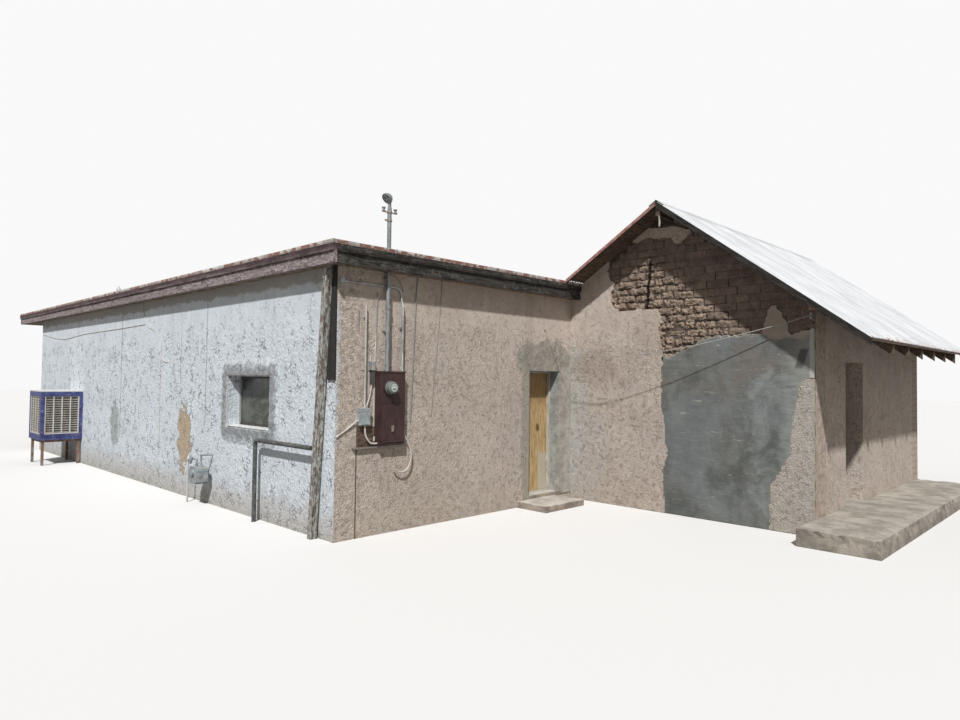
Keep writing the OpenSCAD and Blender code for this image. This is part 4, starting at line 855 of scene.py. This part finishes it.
# Floors, the doorstep and the porch slab: old worn concrete, dusty on top. The step and the
# slab are cast blocks whose edges have crumbled away.
start("worn_concrete")
mottle = cloud(3.4, 9.0, 0.7)
pebbles = put("TexVoronoi", {"Vector": now.place, "Scale": 46.0}).outputs[0]
on_top = spread(axes(put("NewGeometry").outputs["Normal"])[2], 0.4, 0.9)
top = shades(mottle, (0.36, 0.325, 0.28), (0.54, 0.5, 0.44))
edge = shades(mottle, (0.2, 0.165, 0.135), (0.4, 0.335, 0.275))
now.colour = tint(on_top, edge, top)
dirtier = spread(axes()[0], 8.8, 9.2, 0.0, 0.75)
earthy = shades(mottle, (0.21, 0.185, 0.155), (0.38, 0.345, 0.29))
paint(dirtier, earthy)
paint(spread(pebbles, 0.0, 0.22, 0.35, 0.0), (0.2, 0.175, 0.15))
rough = plus(mottle, times(pebbles, -0.25))
finish(0.93, rough, 0.012)
dress("wing_floor", "gable_floor")


def crumbled(name, low, high, cell, wear, node, seed):
    piece = new_block(name, low, high)
    slice_cells(piece, low, high, cell)
    for vertex in piece.data.vertices:
        co = vertex.co
        sides = [high[0] - co.x, co.y - low[1], high[1] - co.y]
        from_top = high[2] - co.z
        edge = min(min(sides) + from_top, 0.2)
        bite = noise.noise(co * 7.0 + Vector((seed, 0, 0))) * 0.7 + noise.noise(co * 23.0) * 0.5
        bite = max(0.0, bite + 0.35) * wear * max(0.0, 1.0 - edge / 0.16)
        if high[0] - co.x < 0.001:
            co.x -= bite
        if co.y - low[1] < 0.001:
            co.y += bite
        elif high[1] - co.y < 0.001:
            co.y -= bite
        if from_top < 0.001:
            co.z -= bite * 0.7
    soften(piece, 0.006, 2, 50)
    settle(piece, replaces=node)


crumbled("front_step", at(0.0, 3.40, 0.0), at(0.6, 4.38, 0.1), 0.04, 0.018, "door_step", 2.0)
crumbled("porch", at(4.0, 4.10, 0.0), at(4.95, 10.43, 0.23), 0.07, 0.06, "porch_slab", 5.0)


# Wood of the house: rafters, ridge, beams and boards of softwood, stained nearly black by age
# and smoke, with water marks on the boards that show from below.
grain, given = new_group("wood_grain")
fibre = cloud(5.0, 8.0, 0.68, bend=0.4)
lines = cloud(3.0, 3.0, 0.5, bend=0.8)
gap = calc("ABSOLUTE", less(lines, 0.5))
split = times(fade(gap, 0.0, 0.02), spread(cloud(1.3, 3.0), 0.44, 0.56))
send(Grain=fibre, Cracks=split, Cloud=cloud(1.0, 6.0, 0.6))


def timber(name, along, dark, light, crack, depth=0.004, rough=0.85):
    start(name)
    wood = use(grain, Place=drawn(along))
    now.colour = shades(wood["Grain"], dark, light, high=0.62)
    paint(wood["Cracks"], crack)
    height = less(wood["Grain"], times(wood["Cracks"], 0.9))
    finish(rough, height, depth, Specular_IOR_Level=0.25)
    return wood, height


timber("roof_timber", (6.0, 1.0, 6.0), (0.065, 0.045, 0.035), (0.16, 0.115, 0.085), (0.02, 0.015, 0.012))
dress("gable_rafters", "ridge_board", "roof_beams", "roof_deck", "roof_boards_east", "roof_boards_west")

timber("soffit_boards", (2.0, 2.0, 8.0), (0.13, 0.095, 0.07), (0.3, 0.235, 0.18), (0.03, 0.024, 0.02))
marks = cloud(2.3, 5.0, 0.6)
ring = within(marks, 0.53, 0.012, 0.01)
paint(ring, (0.07, 0.05, 0.04), 0.6)
paint(spread(marks, 0.55, 0.62), (0.36, 0.28, 0.22), 0.5)
finish()
dress("eave_soffit")


# Fascia boards: maroon paint on softwood. On the white side it peels to pinkish grey along the
# bottom; on the end wall nearly all of it is gone and the grey wood has split along the grain.
peel, given = new_group("peeling_paint", "Scale", "Amount")
flakes = cloud(given["Scale"], 8.0, 0.72)
level_at = less(0.72, times(given["Amount"], 0.44))
over_by = less(flakes, level_at)
gone = spread(over_by, -0.006, 0.006)
send(Bare=gone, Rim=fade(calc("ABSOLUTE", over_by), 0.0, 0.022), Height=less(1.0, gone))

wood, height = timber(
    "peeling_maroon", (1.0, 6.0, 9.0), (0.15, 0.125, 0.12), (0.42, 0.36, 0.355), (0.04, 0.032, 0.028),
)
wood_colour = now.colour
x, y, z = axes()
lower = fade(plus(z, times(wood["Cloud"], 0.08)), 3.53, 3.66)
faded = cloud(8.0, 8.0, 0.7, stretch=(0.35, 1.0, 1.6))
coat = shades(faded, (0.052, 0.032, 0.034), (0.105, 0.07, 0.074))
lost = use(peel, Scale=16.0, Amount=calc("MULTIPLY_ADD", lower, 0.4, 0.16))
pale = shades(faded, (0.17, 0.13, 0.135), (0.46, 0.39, 0.395), 0.42, 0.58)
now.colour = tint(times(lower, 0.7), coat, pale)
paint(lost["Bare"], wood_colour)
paint(lost["Rim"], (0.07, 0.035, 0.035), 0.5)
rough = plus(times(height, 0.6), times(lost["Height"], 0.4))
finish(height=rough, depth=0.005)
dress("fascia_front", "fascia_back")

timber(
    "weathered_fascia", (6.0, 0.8, 11.0), (0.02, 0.018, 0.017), (0.072, 0.066, 0.058),
    (0.009, 0.008, 0.007), depth=0.012,
)
x, y, z = axes()
trace = use(peel, Scale=9.0, Amount=0.62)
washed_paint = tint(cloud(12.0, 5.0), (0.07, 0.058, 0.052), (0.2, 0.185, 0.165))
paint(less(1.0, trace["Bare"]), washed_paint, 0.55)
shelf = within(z, 3.575, 0.01, 0.007)
paint(shelf, (0.02, 0.016, 0.014), 0.8)
finish()
dress("fascia_end")


# Rake boards and the gable's roof edges: dark old boards, with a bent metal edge along the
# west slope that has rusted red.
start("rake_timber")
x, y, z = axes()
from_ridge = calc("ABSOLUTE", less(x, 7.1875))
down = less(times(from_ridge, 0.83), times(z, 0.56))
over = plus(times(from_ridge, 0.56), times(z, 0.83))
laid = put("CombineXYZ", {0: times(down, 0.9), 1: times(y, 6.0), 2: times(over, 9.0)}).outputs[0]
wood = use(grain, Place=laid)
now.colour = shades(wood["Grain"], (0.015, 0.013, 0.012), (0.046, 0.041, 0.037), 0.36, 0.62)
paint(wood["Cracks"], (0.012, 0.01, 0.009))
height = less(wood["Grain"], wood["Cracks"])
crest = less(calc("MULTIPLY_ADD", x, 0.608, 0.39), z)
edge_mask = times(fade(crest, 0.075, 0.085), fade(x, 7.15, 7.19))
scab = cloud(14.0, 7.0, 0.7)
red = shades(scab, (0.24, 0.1, 0.08), (0.46, 0.27, 0.23), 0.36, 0.62)
paint(edge_mask, red)
finish(0.88, height, 0.005, Specular_IOR_Level=0.2)
boards = []
for side, front, deep in ((1, 4.33, 0.080), (-1, 4.33, 0.055), (1, 10.87, 0.110), (-1, 10.87, 0.170)):
    long, face = 3.75, near_corner.y + front
    low = (0.0 if side > 0 else -long, face, -0.021 - deep)
    board = new_block("rake_board", low, (long if side > 0 else 0.0, face + 0.03, -0.021))
    slice_evenly(board, 0, low[0], long, 60)
    slice_evenly(board, 2, low[2], deep, 4)
    for vertex in board.data.vertices:
        if vertex.co.z < low[2] + 0.001:
            vertex.co.z += 0.008 * max(0.0, noise.noise(Vector((vertex.co.x * 2.3, front, side))) + 0.3)
    soften(board, 0.003, 1, 50)
    tilt = Matrix.Rotation(east_slope if side > 0 else -west_slope, 4, "Y")
    peak = at(ridge_x, 0.0, ridge_z)
    board.data.transform(Matrix.Translation((peak.x, 0.0, peak.z)) @ tilt)
    cut_off(board, peak, (-side, 0, 0), fill=True)
    low_end = 4.795 if side > 0 else 0.2255 if front < 5 else -0.6
    cut_off(board, at(low_end, 0, 0), (side, 0, 0), fill=True)
    boards.append(board)
rake_planks = merge(boards, "rake_planks")
settle(rake_planks, replaces="rake_boards")

# Splinter of pale new wood split off the ridge board, hanging by one nail.
split_low, split_long, split_y = 4.36, 0.24, 4.389
splinter = new_block("ridge_splinter", at(1.9205, 4.372, split_low), at(1.934, 4.406, 4.60))
slice_evenly(splinter, 2, split_low, split_long, 8)
for vertex in splinter.data.vertices:
    share = (vertex.co.z - split_low) / split_long
    middle_y = near_corner.y + split_y + 0.012 * math.sin(share * 4.0)
    taper = 0.15 + 1.1 * math.sin(min(1.0, share + 0.1) * 2.6)
    vertex.co.y = middle_y + (vertex.co.y - near_corner.y - split_y) * taper
soften(splinter, 0.002, 1, 40)
timber(
    "pale_split_wood", (9.0, 9.0, 1.2), (0.46, 0.41, 0.33), (0.66, 0.62, 0.54), (0.2, 0.16, 0.12),
    depth=0.002,
)
settle(splinter)


# Roof coverings: pale rolled roofing over the flat wing, turned down over a rusty drip edge,
# and galvanised corrugated sheets on the gabled wing, bleached nearly white.
rust, given = new_group("rust", "Scale", "Amount")
scab = cloud(given["Scale"], 8.0, 0.72)
onset = less(0.74, times(given["Amount"], 0.46))
blotches = cloud(times(given["Scale"], 4.0), 5.0, 0.65)
send(Mask=spread(less(scab, onset), -0.02, 0.03), Tone=blotches, Height=scab)


def rusted(scale, amount, dark, light, share=None):
    spots = use(rust, Scale=scale, Amount=amount)
    paint(spots["Mask"], tint(spots["Tone"], dark, light), share)
    return spots


start("rolled_roofing")
x, y, z = axes()
gravel = cloud(95.0, 5.0, 0.7)
sheet = cloud(1.8, 7.0, 0.65)
now.colour = shades(sheet, (0.46, 0.42, 0.385), (0.7, 0.67, 0.63), 0.38, 0.62)
paint(spread(gravel, 0.52, 0.62, 0.0, 0.35), (0.28, 0.25, 0.225))
lap = calc("FRACT", times(y, 1.05))
paint(within(lap, 0.5, 0.012, 0.006), (0.12, 0.105, 0.095), 0.7)
scale_rust = use(rust, Scale=7.0, Amount=0.52)
red = tint(scale_rust["Tone"], (0.155, 0.05, 0.036), (0.36, 0.16, 0.115))
rim = fade(z, 3.688, 3.693)
paint(rim, red, scale_rust["Mask"])
drip_edge = fade(plus(z, times(sheet, 0.02)), 3.676, 3.684)
paint(drip_edge, (0.16, 0.115, 0.105), 0.5)
finish(0.9, plus(gravel, scale_rust["Height"]), 0.006)
dress("roof_covering")

start("bleached_galvanised")
x, y, z = axes()
spangle = axes(put("TexVoronoi", {"Vector": now.place, "Scale": 26.0}).outputs[1])[0]
weather = cloud(1.6, 7.0, 0.6, stretch=(1.0, 1.6, 1.0))
now.colour = shades(weather, (0.47, 0.48, 0.49), (0.585, 0.595, 0.605), 0.36, 0.62)
paint(spangle, (0.52, 0.54, 0.56), 0.12)
eaves = spread(plus(x, times(weather, 0.25)), 10.02, 10.22)
rust_amount = calc("MULTIPLY_ADD", eaves, 0.3, 0.17)
spots = rusted(11.0, rust_amount, (0.2, 0.085, 0.045), (0.42, 0.24, 0.15), 0.8)
side_lap = calc("FRACT", times(plus(y, 0.1), 1.565))
paint(within(side_lap, 0.5, 0.008, 0.004), (0.22, 0.21, 0.21), 0.6)
finish(sheen(weather, 0.42, 0.62), plus(weather, times(spots["Height"], 0.4)), 0.006, Metallic=0.15)
dress("roof_sheet_east", "roof_sheet_west", "ridge_cap")


# Vent on the flat roof: a short galvanised stack in a cone of flashing, under a flat rain cap.
def press_out(piece, facing, *steps):
    take(piece)
    bpy.ops.object.mode_set(mode="EDIT")
    bpy.ops.mesh.select_mode(type="FACE")
    bpy.ops.mesh.select_all(action="DESELECT")
    bpy.ops.object.mode_set(mode="OBJECT")
    for face in piece.data.polygons:
        face.select = face.normal.dot(facing) > 0.9
    bpy.ops.object.mode_set(mode="EDIT")
    for inward, rise in steps:
        move = tuple(Vector(facing) * rise)
        if inward:
            bpy.ops.mesh.inset(thickness=abs(inward), use_outset=inward < 0)
            bpy.ops.transform.translate(value=move)
        else:
            bpy.ops.mesh.extrude_region_move(TRANSFORM_OT_translate={"value": move})
    bpy.ops.object.mode_set(mode="OBJECT")


vent_foot = at(-9.17, 0.35, 3.694)
bpy.ops.mesh.primitive_cylinder_add(
    vertices=32, radius=0.12, depth=0.006, location=vent_foot + Vector((0, 0, 0.003)),
)
vent = named("roof_vent")
press_out(
    vent, (0, 0, 1), (0.068, 0.035), (0.007, 0.0), (0.0, 0.20), (-0.075, 0.0), (0.0, 0.012),
    (0.03, 0.035), (0.04, 0.008),
)
soften(vent, 0.002, 1, 35)
start("vent_zinc")
chalk = cloud(14.0, 6.0, 0.65)
now.colour = shades(chalk, (0.42, 0.43, 0.43), (0.62, 0.63, 0.62))
spots = use(rust, Scale=20.0, Amount=0.36)
paint(spots["Mask"], (0.26, 0.15, 0.1), 0.7)
finish(sheen(chalk, 0.45, 0.68), chalk, 0.0015, Metallic=0.3)
settle(vent)


# Fired brick wedged under the roof at the gable's corner, the only one in the house.
wedge = new_block("corner_brick", at(3.93, 4.775, 3.005), at(4.03, 4.90, 3.085))
for axis, low, high in ((0, 3.93, 4.03), (1, 4.775, 4.90), (2, 3.005, 3.085)):
    slice_evenly(wedge, axis, near_corner[axis] + low, high - low, 5)
soften(wedge, 0.006, 2, 50)
roughen(wedge, "chips", 0.03, 3, 0.008)
start("fired_brick")
pits = cloud(30.0, 7.0, 0.7)
now.colour = shades(pits, (0.34, 0.17, 0.12), (0.58, 0.36, 0.28))
finish(0.95, pits, 0.004)
settle(wedge)


# Front door: a plywood leaf in a softwood frame, varnished ochre, with a pale patch at the
# bottom where it has been wetted and sanded, and rusty marks by the knob.
wood = timber(
    "ochre_plywood", (1.0, 7.0, 0.9), (0.37, 0.25, 0.115), (0.56, 0.41, 0.215), (0.2, 0.12, 0.055),
    depth=0.0015, rough=0.62,
)[0]
x, y, z = axes()
pale_mask = times(
    spread(plus(y, times(wood["Cloud"], 0.08)), -0.81, -0.76),
    fade(plus(z, times(wood["Cloud"], 0.12)), 0.8, 0.9),
)
paint(pale_mask, (0.5, 0.46, 0.38), 0.8)
marks = blot((5.0, -0.84, 1.22), (0.3, 0.035, 0.07), 0.6, 18.0)
paint(marks, (0.1, 0.045, 0.02), 0.85)
runs = spread(cloud(4.0, 5.0, 0.6, stretch=(1.0, 3.0, 0.5)), 0.6, 0.68)
paint(runs, (0.26, 0.15, 0.06), 0.45)
# Upper part of the leaf painted darker: the painted shadow of the lintel.
shaded_upper = spread(z, 1.55, 1.75)
paint(shaded_upper, (0.22, 0.115, 0.045), 0.45)
finish()
dress("door_leaf")

timber(
    "pale_frame_wood", (7.0, 7.0, 0.9), (0.32, 0.28, 0.22), (0.55, 0.52, 0.46), (0.09, 0.07, 0.055),
    depth=0.002,
)
dress("door_frame")


# Plain steel: knob, hinges, hooks and straps, dull with handling and specks of rust.
steel = start("dull_steel")
film = dusty(0.7, (0.28, 0.275, 0.265), (0.34, 0.29, 0.23))
spots = rusted(40.0, 0.42, (0.13, 0.05, 0.03), (0.3, 0.15, 0.08), 0.8)
finish(
    sheen(film, 0.4, 0.7), spots["Height"], 0.0015,
    Metallic=calc("MULTIPLY_ADD", spots["Mask"], -0.6, 0.7),
)
dress("door_knob", "frame_hinges", "leaf_hinges", "cable_fittings")


# Window: an aluminium frame with one fixed light, its glass filmed with dust. The glass's dark colour
# is painted shade of the room behind, and its greenish lower half a painted reflection of the ground.
start("dull_aluminium")
film = dusty(0.8, (0.045, 0.042, 0.038), (0.11, 0.1, 0.085))
# West side of the frame painted pale: a painted highlight on the side the light falls on.
lit_west_side = fade(axes()[0], 2.4, 2.44)
paint(lit_west_side, (0.7, 0.71, 0.7), 0.7)
finish(sheen(film, 0.4, 0.65), film, 0.001, Metallic=0.5)
dress("window_frame")

start("dusty_pane")
x, y, z = axes()
film = cloud(5.0, 6.0, 0.65)
swirls = cloud(3.0, 5.0, 0.6, stretch=(1.0, 1.0, 1.8), bend=1.2)
# Upper half painted near black as the shade of the room behind; the greenish lower half is a painted
# reflection of the ground.
shaded_upper = shades(film, (0.01, 0.012, 0.012), (0.036, 0.04, 0.042), 0.4, 0.62)
lower = shades(swirls, (0.036, 0.042, 0.033), (0.1, 0.11, 0.088), 0.38, 0.62)
now.colour = shades(plus(z, times(film, 0.06)), lower, shaded_upper, 1.7, 1.76)
fold = calc("FRACT", times(plus(x, times(film, 0.03)), 5.5))
curtain = times(within(fold, 0.5, 0.16, 0.12), spread(z, 1.72, 1.78), 0.5)
paint(curtain, (0.055, 0.058, 0.06))
finish(sheen(film, 0.1, 0.34), film, 0.0008, Specular_IOR_Level=0.5)
dress("window_glass")


# Service mast and conduits: galvanised pipe, chalky with age, rust coming up at the straps.
start("chalky_galvanised")
chalk = cloud(14.0, 6.0, 0.65, stretch=(1.0, 1.0, 0.35))
x, y, z = axes()
now.colour = shades(chalk, (0.27, 0.285, 0.29), (0.5, 0.52, 0.52))
blushed = within(y, -4.635, 0.035, 0.004)
paint(blushed, (0.56, 0.49, 0.47), 0.7)
breaker = times(within(y, -4.499, 0.03, 0.002), within(z, 2.042, 0.088, 0.002))
paint(breaker, (0.05, 0.052, 0.055), 0.9)
spots = rusted(18.0, 0.34, (0.18, 0.085, 0.05), (0.38, 0.23, 0.16), 0.7)
finish(
    sheen(chalk, 0.45, 0.68), chalk, 0.0015,
    Metallic=calc("MULTIPLY_ADD", spots["Mask"], -0.4, 0.45),
)
dress("conduits")

start("dull_zinc")
chalk = cloud(14.0, 6.0, 0.65, stretch=(1.0, 1.0, 0.35))
now.colour = shades(chalk, (0.17, 0.185, 0.19), (0.31, 0.33, 0.335))
spots = rusted(18.0, 0.3, (0.13, 0.07, 0.045), (0.26, 0.17, 0.12), 0.6)
finish(
    sheen(chalk, 0.5, 0.7), chalk, 0.0015,
    Metallic=calc("MULTIPLY_ADD", spots["Mask"], -0.4, 0.45),
)
dress("mast")


# Meter cabinet: a sheet steel box in maroon enamel, sun-chalked, with a hinged cover. A brown
# board backs the pipes beside it and a black angle carries its foot.
start("maroon_enamel")
chalk = cloud(9.0, 7.0, 0.66, stretch=(1.0, 1.0, 0.4))
now.colour = shades(chalk, (0.034, 0.016, 0.014), (0.064, 0.03, 0.028))
nicks = use(peel, Scale=26.0, Amount=0.1)
paint(nicks["Bare"], (0.3, 0.26, 0.24))
# Dark patch below the meter: the meter's painted shadow on the cabinet.
meter_shadow = blot((5.4, -4.275, 1.7), (0.3, 0.1, 0.22), 0.35, 9.0)
paint(meter_shadow, (0.028, 0.014, 0.014), 0.7)
finish(sheen(chalk, 0.5, 0.75), plus(chalk, nicks["Height"]), 0.001)
dress("meter_panel")

cover = new_block("cabinet_cover", at(0.0985, 0.625, 1.195), at(0.1075, 0.995, 1.70))
press_out(cover, (1, 0, 0), (0.018, -0.004), (0.012, 0.003))
soften(cover, 0.0015, 2, 30)
settle(cover)

hasp = new_block("cabinet_hasp", at(0.1045, 0.79, 1.33), at(0.1155, 0.83, 1.41))
press_out(hasp, (1, 0, 0), (0.010, 0.0), (0.0, 0.010))
soften(hasp, 0.0015, 2, 30)
settle(hasp, steel)

backing = new_block("backing_board", at(-0.004, 0.313, 1.150), at(0.014, 0.588, 1.405))
slice_evenly(backing, 1, near_corner.y + 0.313, 0.275, 8)
soften(backing, 0.003, 2, 40)
roughen(backing, "board_warp", 0.2, 3, 0.005)
timber("backing_board", (1.0, 1.0, 6.0), (0.06, 0.04, 0.03), (0.17, 0.12, 0.09), (0.02, 0.014, 0.01))
settle(backing)

angle_bar = new_block("cabinet_shelf", at(-0.004, 0.245, 1.128), at(0.045, 1.045, 1.149))
press_out(angle_bar, (0, 0, -1), (0.004, -0.015))
soften(angle_bar, 0.001, 1, 40)
settle(angle_bar, steel)


# Meter: a clear dome over a pale dial with five small hands' circles, in a steel ring.
start("meter_dome")
x, y, z = axes(vector("SUBTRACT", now.place, (5.45, -4.285, 1.905))[0])
radius = vector("LENGTH", put("CombineXYZ", {1: y, 2: z}).outputs[0])[1]
haze = cloud(30.0, 5.0)
dial = tint(haze, (0.38, 0.45, 0.4), (0.56, 0.64, 0.57))
now.colour = shades(radius, dial, (0.13, 0.15, 0.145), 0.05, 0.054)
paint(spread(radius, 0.064, 0.068), (0.17, 0.18, 0.18))
for number in range(5):
    turn_by = math.radians(-60 + 30 * number)
    middle = (math.sin(turn_by) * 0.032, math.cos(turn_by) * 0.024 + 0.008)
    reach = calc(
        "SQRT", plus(calc("POWER", less(y, middle[0]), 2.0), calc("POWER", less(z, middle[1]), 2.0)),
    )
    paint(within(reach, 0.0065, 0.0016, 0.0006), (0.06, 0.07, 0.07), 0.8)
bar = times(within(z, -0.018, 0.007, 0.001), within(y, 0.0, 0.028, 0.001))
paint(bar, (0.08, 0.09, 0.09))
finish(sheen(haze, 0.08, 0.2), haze, 0.0004, Coat_Weight=0.6)
dress("meter_glass")

start("grey_enamel")
chalk = cloud(16.0, 6.0, 0.65)
now.colour = shades(chalk, (0.23, 0.27, 0.275), (0.4, 0.435, 0.43))
spots = use(rust, Scale=24.0, Amount=0.22)
paint(spots["Mask"], (0.24, 0.13, 0.08), 0.7)
finish(sheen(chalk, 0.5, 0.7), chalk, 0.0012)
dress("disconnect_box")


# Pipe beside the wall and the gas meter: black painted steel gone grey with dust, and a pressed
# case in dull blue-grey enamel with pale pipes.
start("dusty_black_pipe")
film = dusty(0.9, (0.05, 0.055, 0.056), (0.16, 0.155, 0.145))
finish(0.7, film, 0.0015)
dress("wall_pipe")

start("blue_grey_enamel")
x, y, z = axes()
chalk = cloud(12.0, 6.0, 0.65)
now.colour = shades(chalk, (0.19, 0.22, 0.235), (0.34, 0.375, 0.385))
pale_pipe = fade(x, 1.56, 1.6)
pipe_paint = tint(chalk, (0.42, 0.42, 0.4), (0.66, 0.66, 0.63))
paint(pale_pipe, pipe_paint)
spots = rusted(20.0, 0.36, (0.15, 0.07, 0.04), (0.32, 0.19, 0.12), 0.75)
finish(sheen(chalk, 0.5, 0.75), plus(chalk, spots["Height"]), 0.0015)
dress("gas_meter")


# Evaporative cooler on its stand: deep blue enamel with a white top, pale louvres over straw
# pads, on a table of rusty angle iron.
start("faded_blue_enamel")
x, y, z = axes()
chalk = cloud(7.0, 7.0, 0.66)
now.colour = shades(chalk, (0.025, 0.035, 0.13), (0.075, 0.095, 0.24))
nicks = use(peel, Scale=14.0, Amount=0.2)
paint(nicks["Bare"], (0.3, 0.33, 0.42))
low_down = spread(z, 0.62, 0.85, 1.0, 0.25)
rusted(9.0, 0.3, (0.15, 0.07, 0.04), (0.34, 0.19, 0.12), low_down)
lid = spread(plus(z, times(chalk, 0.01)), 1.637, 1.642)
paint(lid, (0.66, 0.66, 0.62))
finish(sheen(chalk, 0.45, 0.7), plus(chalk, nicks["Height"]), 0.0015)
dress("cooler_cabinet")

start("pale_louvres")
x, y, z = axes()
grime = use(dust, Amount=1.0)
scale_marks = cloud(5.0, 6.0, 0.65, stretch=(2.0, 2.0, 0.5))
slats = shades(scale_marks, (0.15, 0.135, 0.12), (0.27, 0.25, 0.225), 0.42, 0.62)
front_lane = calc("FRACT", calc("DIVIDE", plus(x, 5.898), 0.2065))
side_lane = calc("FRACT", calc("DIVIDE", plus(y, 5.7905), 0.164))
on_front = fade(y, -5.834, -5.832)
bars = tint(on_front, calc("LESS_THAN", side_lane, 0.152), calc("LESS_THAN", front_lane, 0.121))
rails = fade(z, 0.714, 0.718)
pale = tint(scale_marks, (0.52, 0.51, 0.46), (0.68, 0.68, 0.64))
now.colour = tint(calc("MAXIMUM", bars, rails), slats, pale)
paint(grime["Mask"], (0.36, 0.3, 0.24), 0.5)
finish(0.72, grime["Height"], 0.0012)
dress("cooler_louvres")

# Pads of the cooler: wood wool in wire frames behind each louvred side, grey with hard water.
start("wood_wool_pad")
strands = cloud(40.0, 6.0, 0.7, stretch=(1.0, 1.0, 0.4), bend=2.0)
now.colour = shades(strands, (0.045, 0.04, 0.036), (0.17, 0.15, 0.13))
finish(0.95, strands, 0.006)
pad_places = (
    (at(-11.18, -0.790, 0.70), at(-10.34, -0.752, 1.52)),
    (at(-10.338, -0.75, 0.70), at(-10.300, -0.08, 1.52)),
    (at(-11.220, -0.75, 0.70), at(-11.182, -0.08, 1.52)),
)
for number, (low, high) in enumerate(pad_places):
    pad = new_block(f"cooler_pad_{number + 1}", low, high)
    slice_cells(pad, low, high, 0.04)
    roughen(pad, f"pad_lumps_{number + 1}", 0.06, 4, 0.010)
    settle(pad)

start("rusty_angle_iron")
now.colour = (0.27, 0.26, 0.24)
spots = rusted(8.0, 0.62, (0.12, 0.055, 0.035), (0.34, 0.2, 0.13))
finish(0.85, spots["Height"], 0.002)
dress("cooler_stand")


# Corner post: an old square post leaning against the house, pale green paint flaking off grey
# wood, and a dark creosoted board nailed up behind it.
wood, height = timber(
    "flaking_post", (7.0, 7.0, 0.7), (0.1, 0.078, 0.062), (0.28, 0.24, 0.2), (0.025, 0.02, 0.016),
    depth=0.008,
)
wood_colour = now.colour
x, y, z = axes()
lost = use(peel, Place=drawn((1.0, 1.0, 0.4)), Scale=26.0, Amount=0.5)
coat = shades(wood["Grain"], (0.3, 0.305, 0.28), (0.5, 0.5, 0.455))
now.colour = tint(lost["Bare"], coat, wood_colour)
behind = spread(y, -5.062, -5.06)
creosote = tint(wood["Grain"], (0.018, 0.016, 0.016), (0.055, 0.05, 0.048))
paint(behind, creosote, spread(z, 1.9, 1.95))
rough = plus(times(height, 0.7), times(lost["Height"], 0.3))
finish(height=rough, depth=0.008)
dress("corner_post")


# Floor of the studio: a pale sweep with nothing on it, which keeps the house's shadow.
bpy.ops.mesh.primitive_circle_add(vertices=96, radius=90.0, fill_type="NGON", location=(0, 0, 0))
studio_floor = bpy.context.object
studio_floor.name = "studio_floor"
start("pale_floor")
now.colour = tint(put("LightPath").outputs["Is Camera Ray"], (0.3, 0.29, 0.275), (0.77, 0.76, 0.745))
finish(0.9, Specular_IOR_Level=0.1)
studio_floor.data.materials.append(now.material)

world = bpy.data.worlds.new("studio")
bpy.context.scene.world = world
world.use_nodes = True
now.tree = world.node_tree
now.tree.nodes.clear()
rays = put("LightPath").outputs
seen = calc("MAXIMUM", rays["Is Camera Ray"], rays["Is Glossy Ray"])
seen = calc("MAXIMUM", seen, rays["Is Transmission Ray"])
strength = put("MapRange", {"Value": seen, "To Min": 0.27, "To Max": 0.95}).outputs[0]
sky = put("Background", {"Color": (1.0, 1.0, 1.0, 1.0), "Strength": strength})
put("OutputWorld", {"Surface": sky.outputs[0]})

lamp = bpy.data.lights.new("key", "SUN")
lamp.energy = 3.9
lamp.angle = math.radians(2.0)
key_light = new_object("key", lamp)
toward = Vector((-0.408, 0.518, -0.751))
key_light.rotation_mode = "QUATERNION"
key_light.rotation_quaternion = toward.to_track_quat("-Z", "Y")

bpy.context.scene.view_settings.view_transform = "Standard"

bpy.context.view_layer.update()
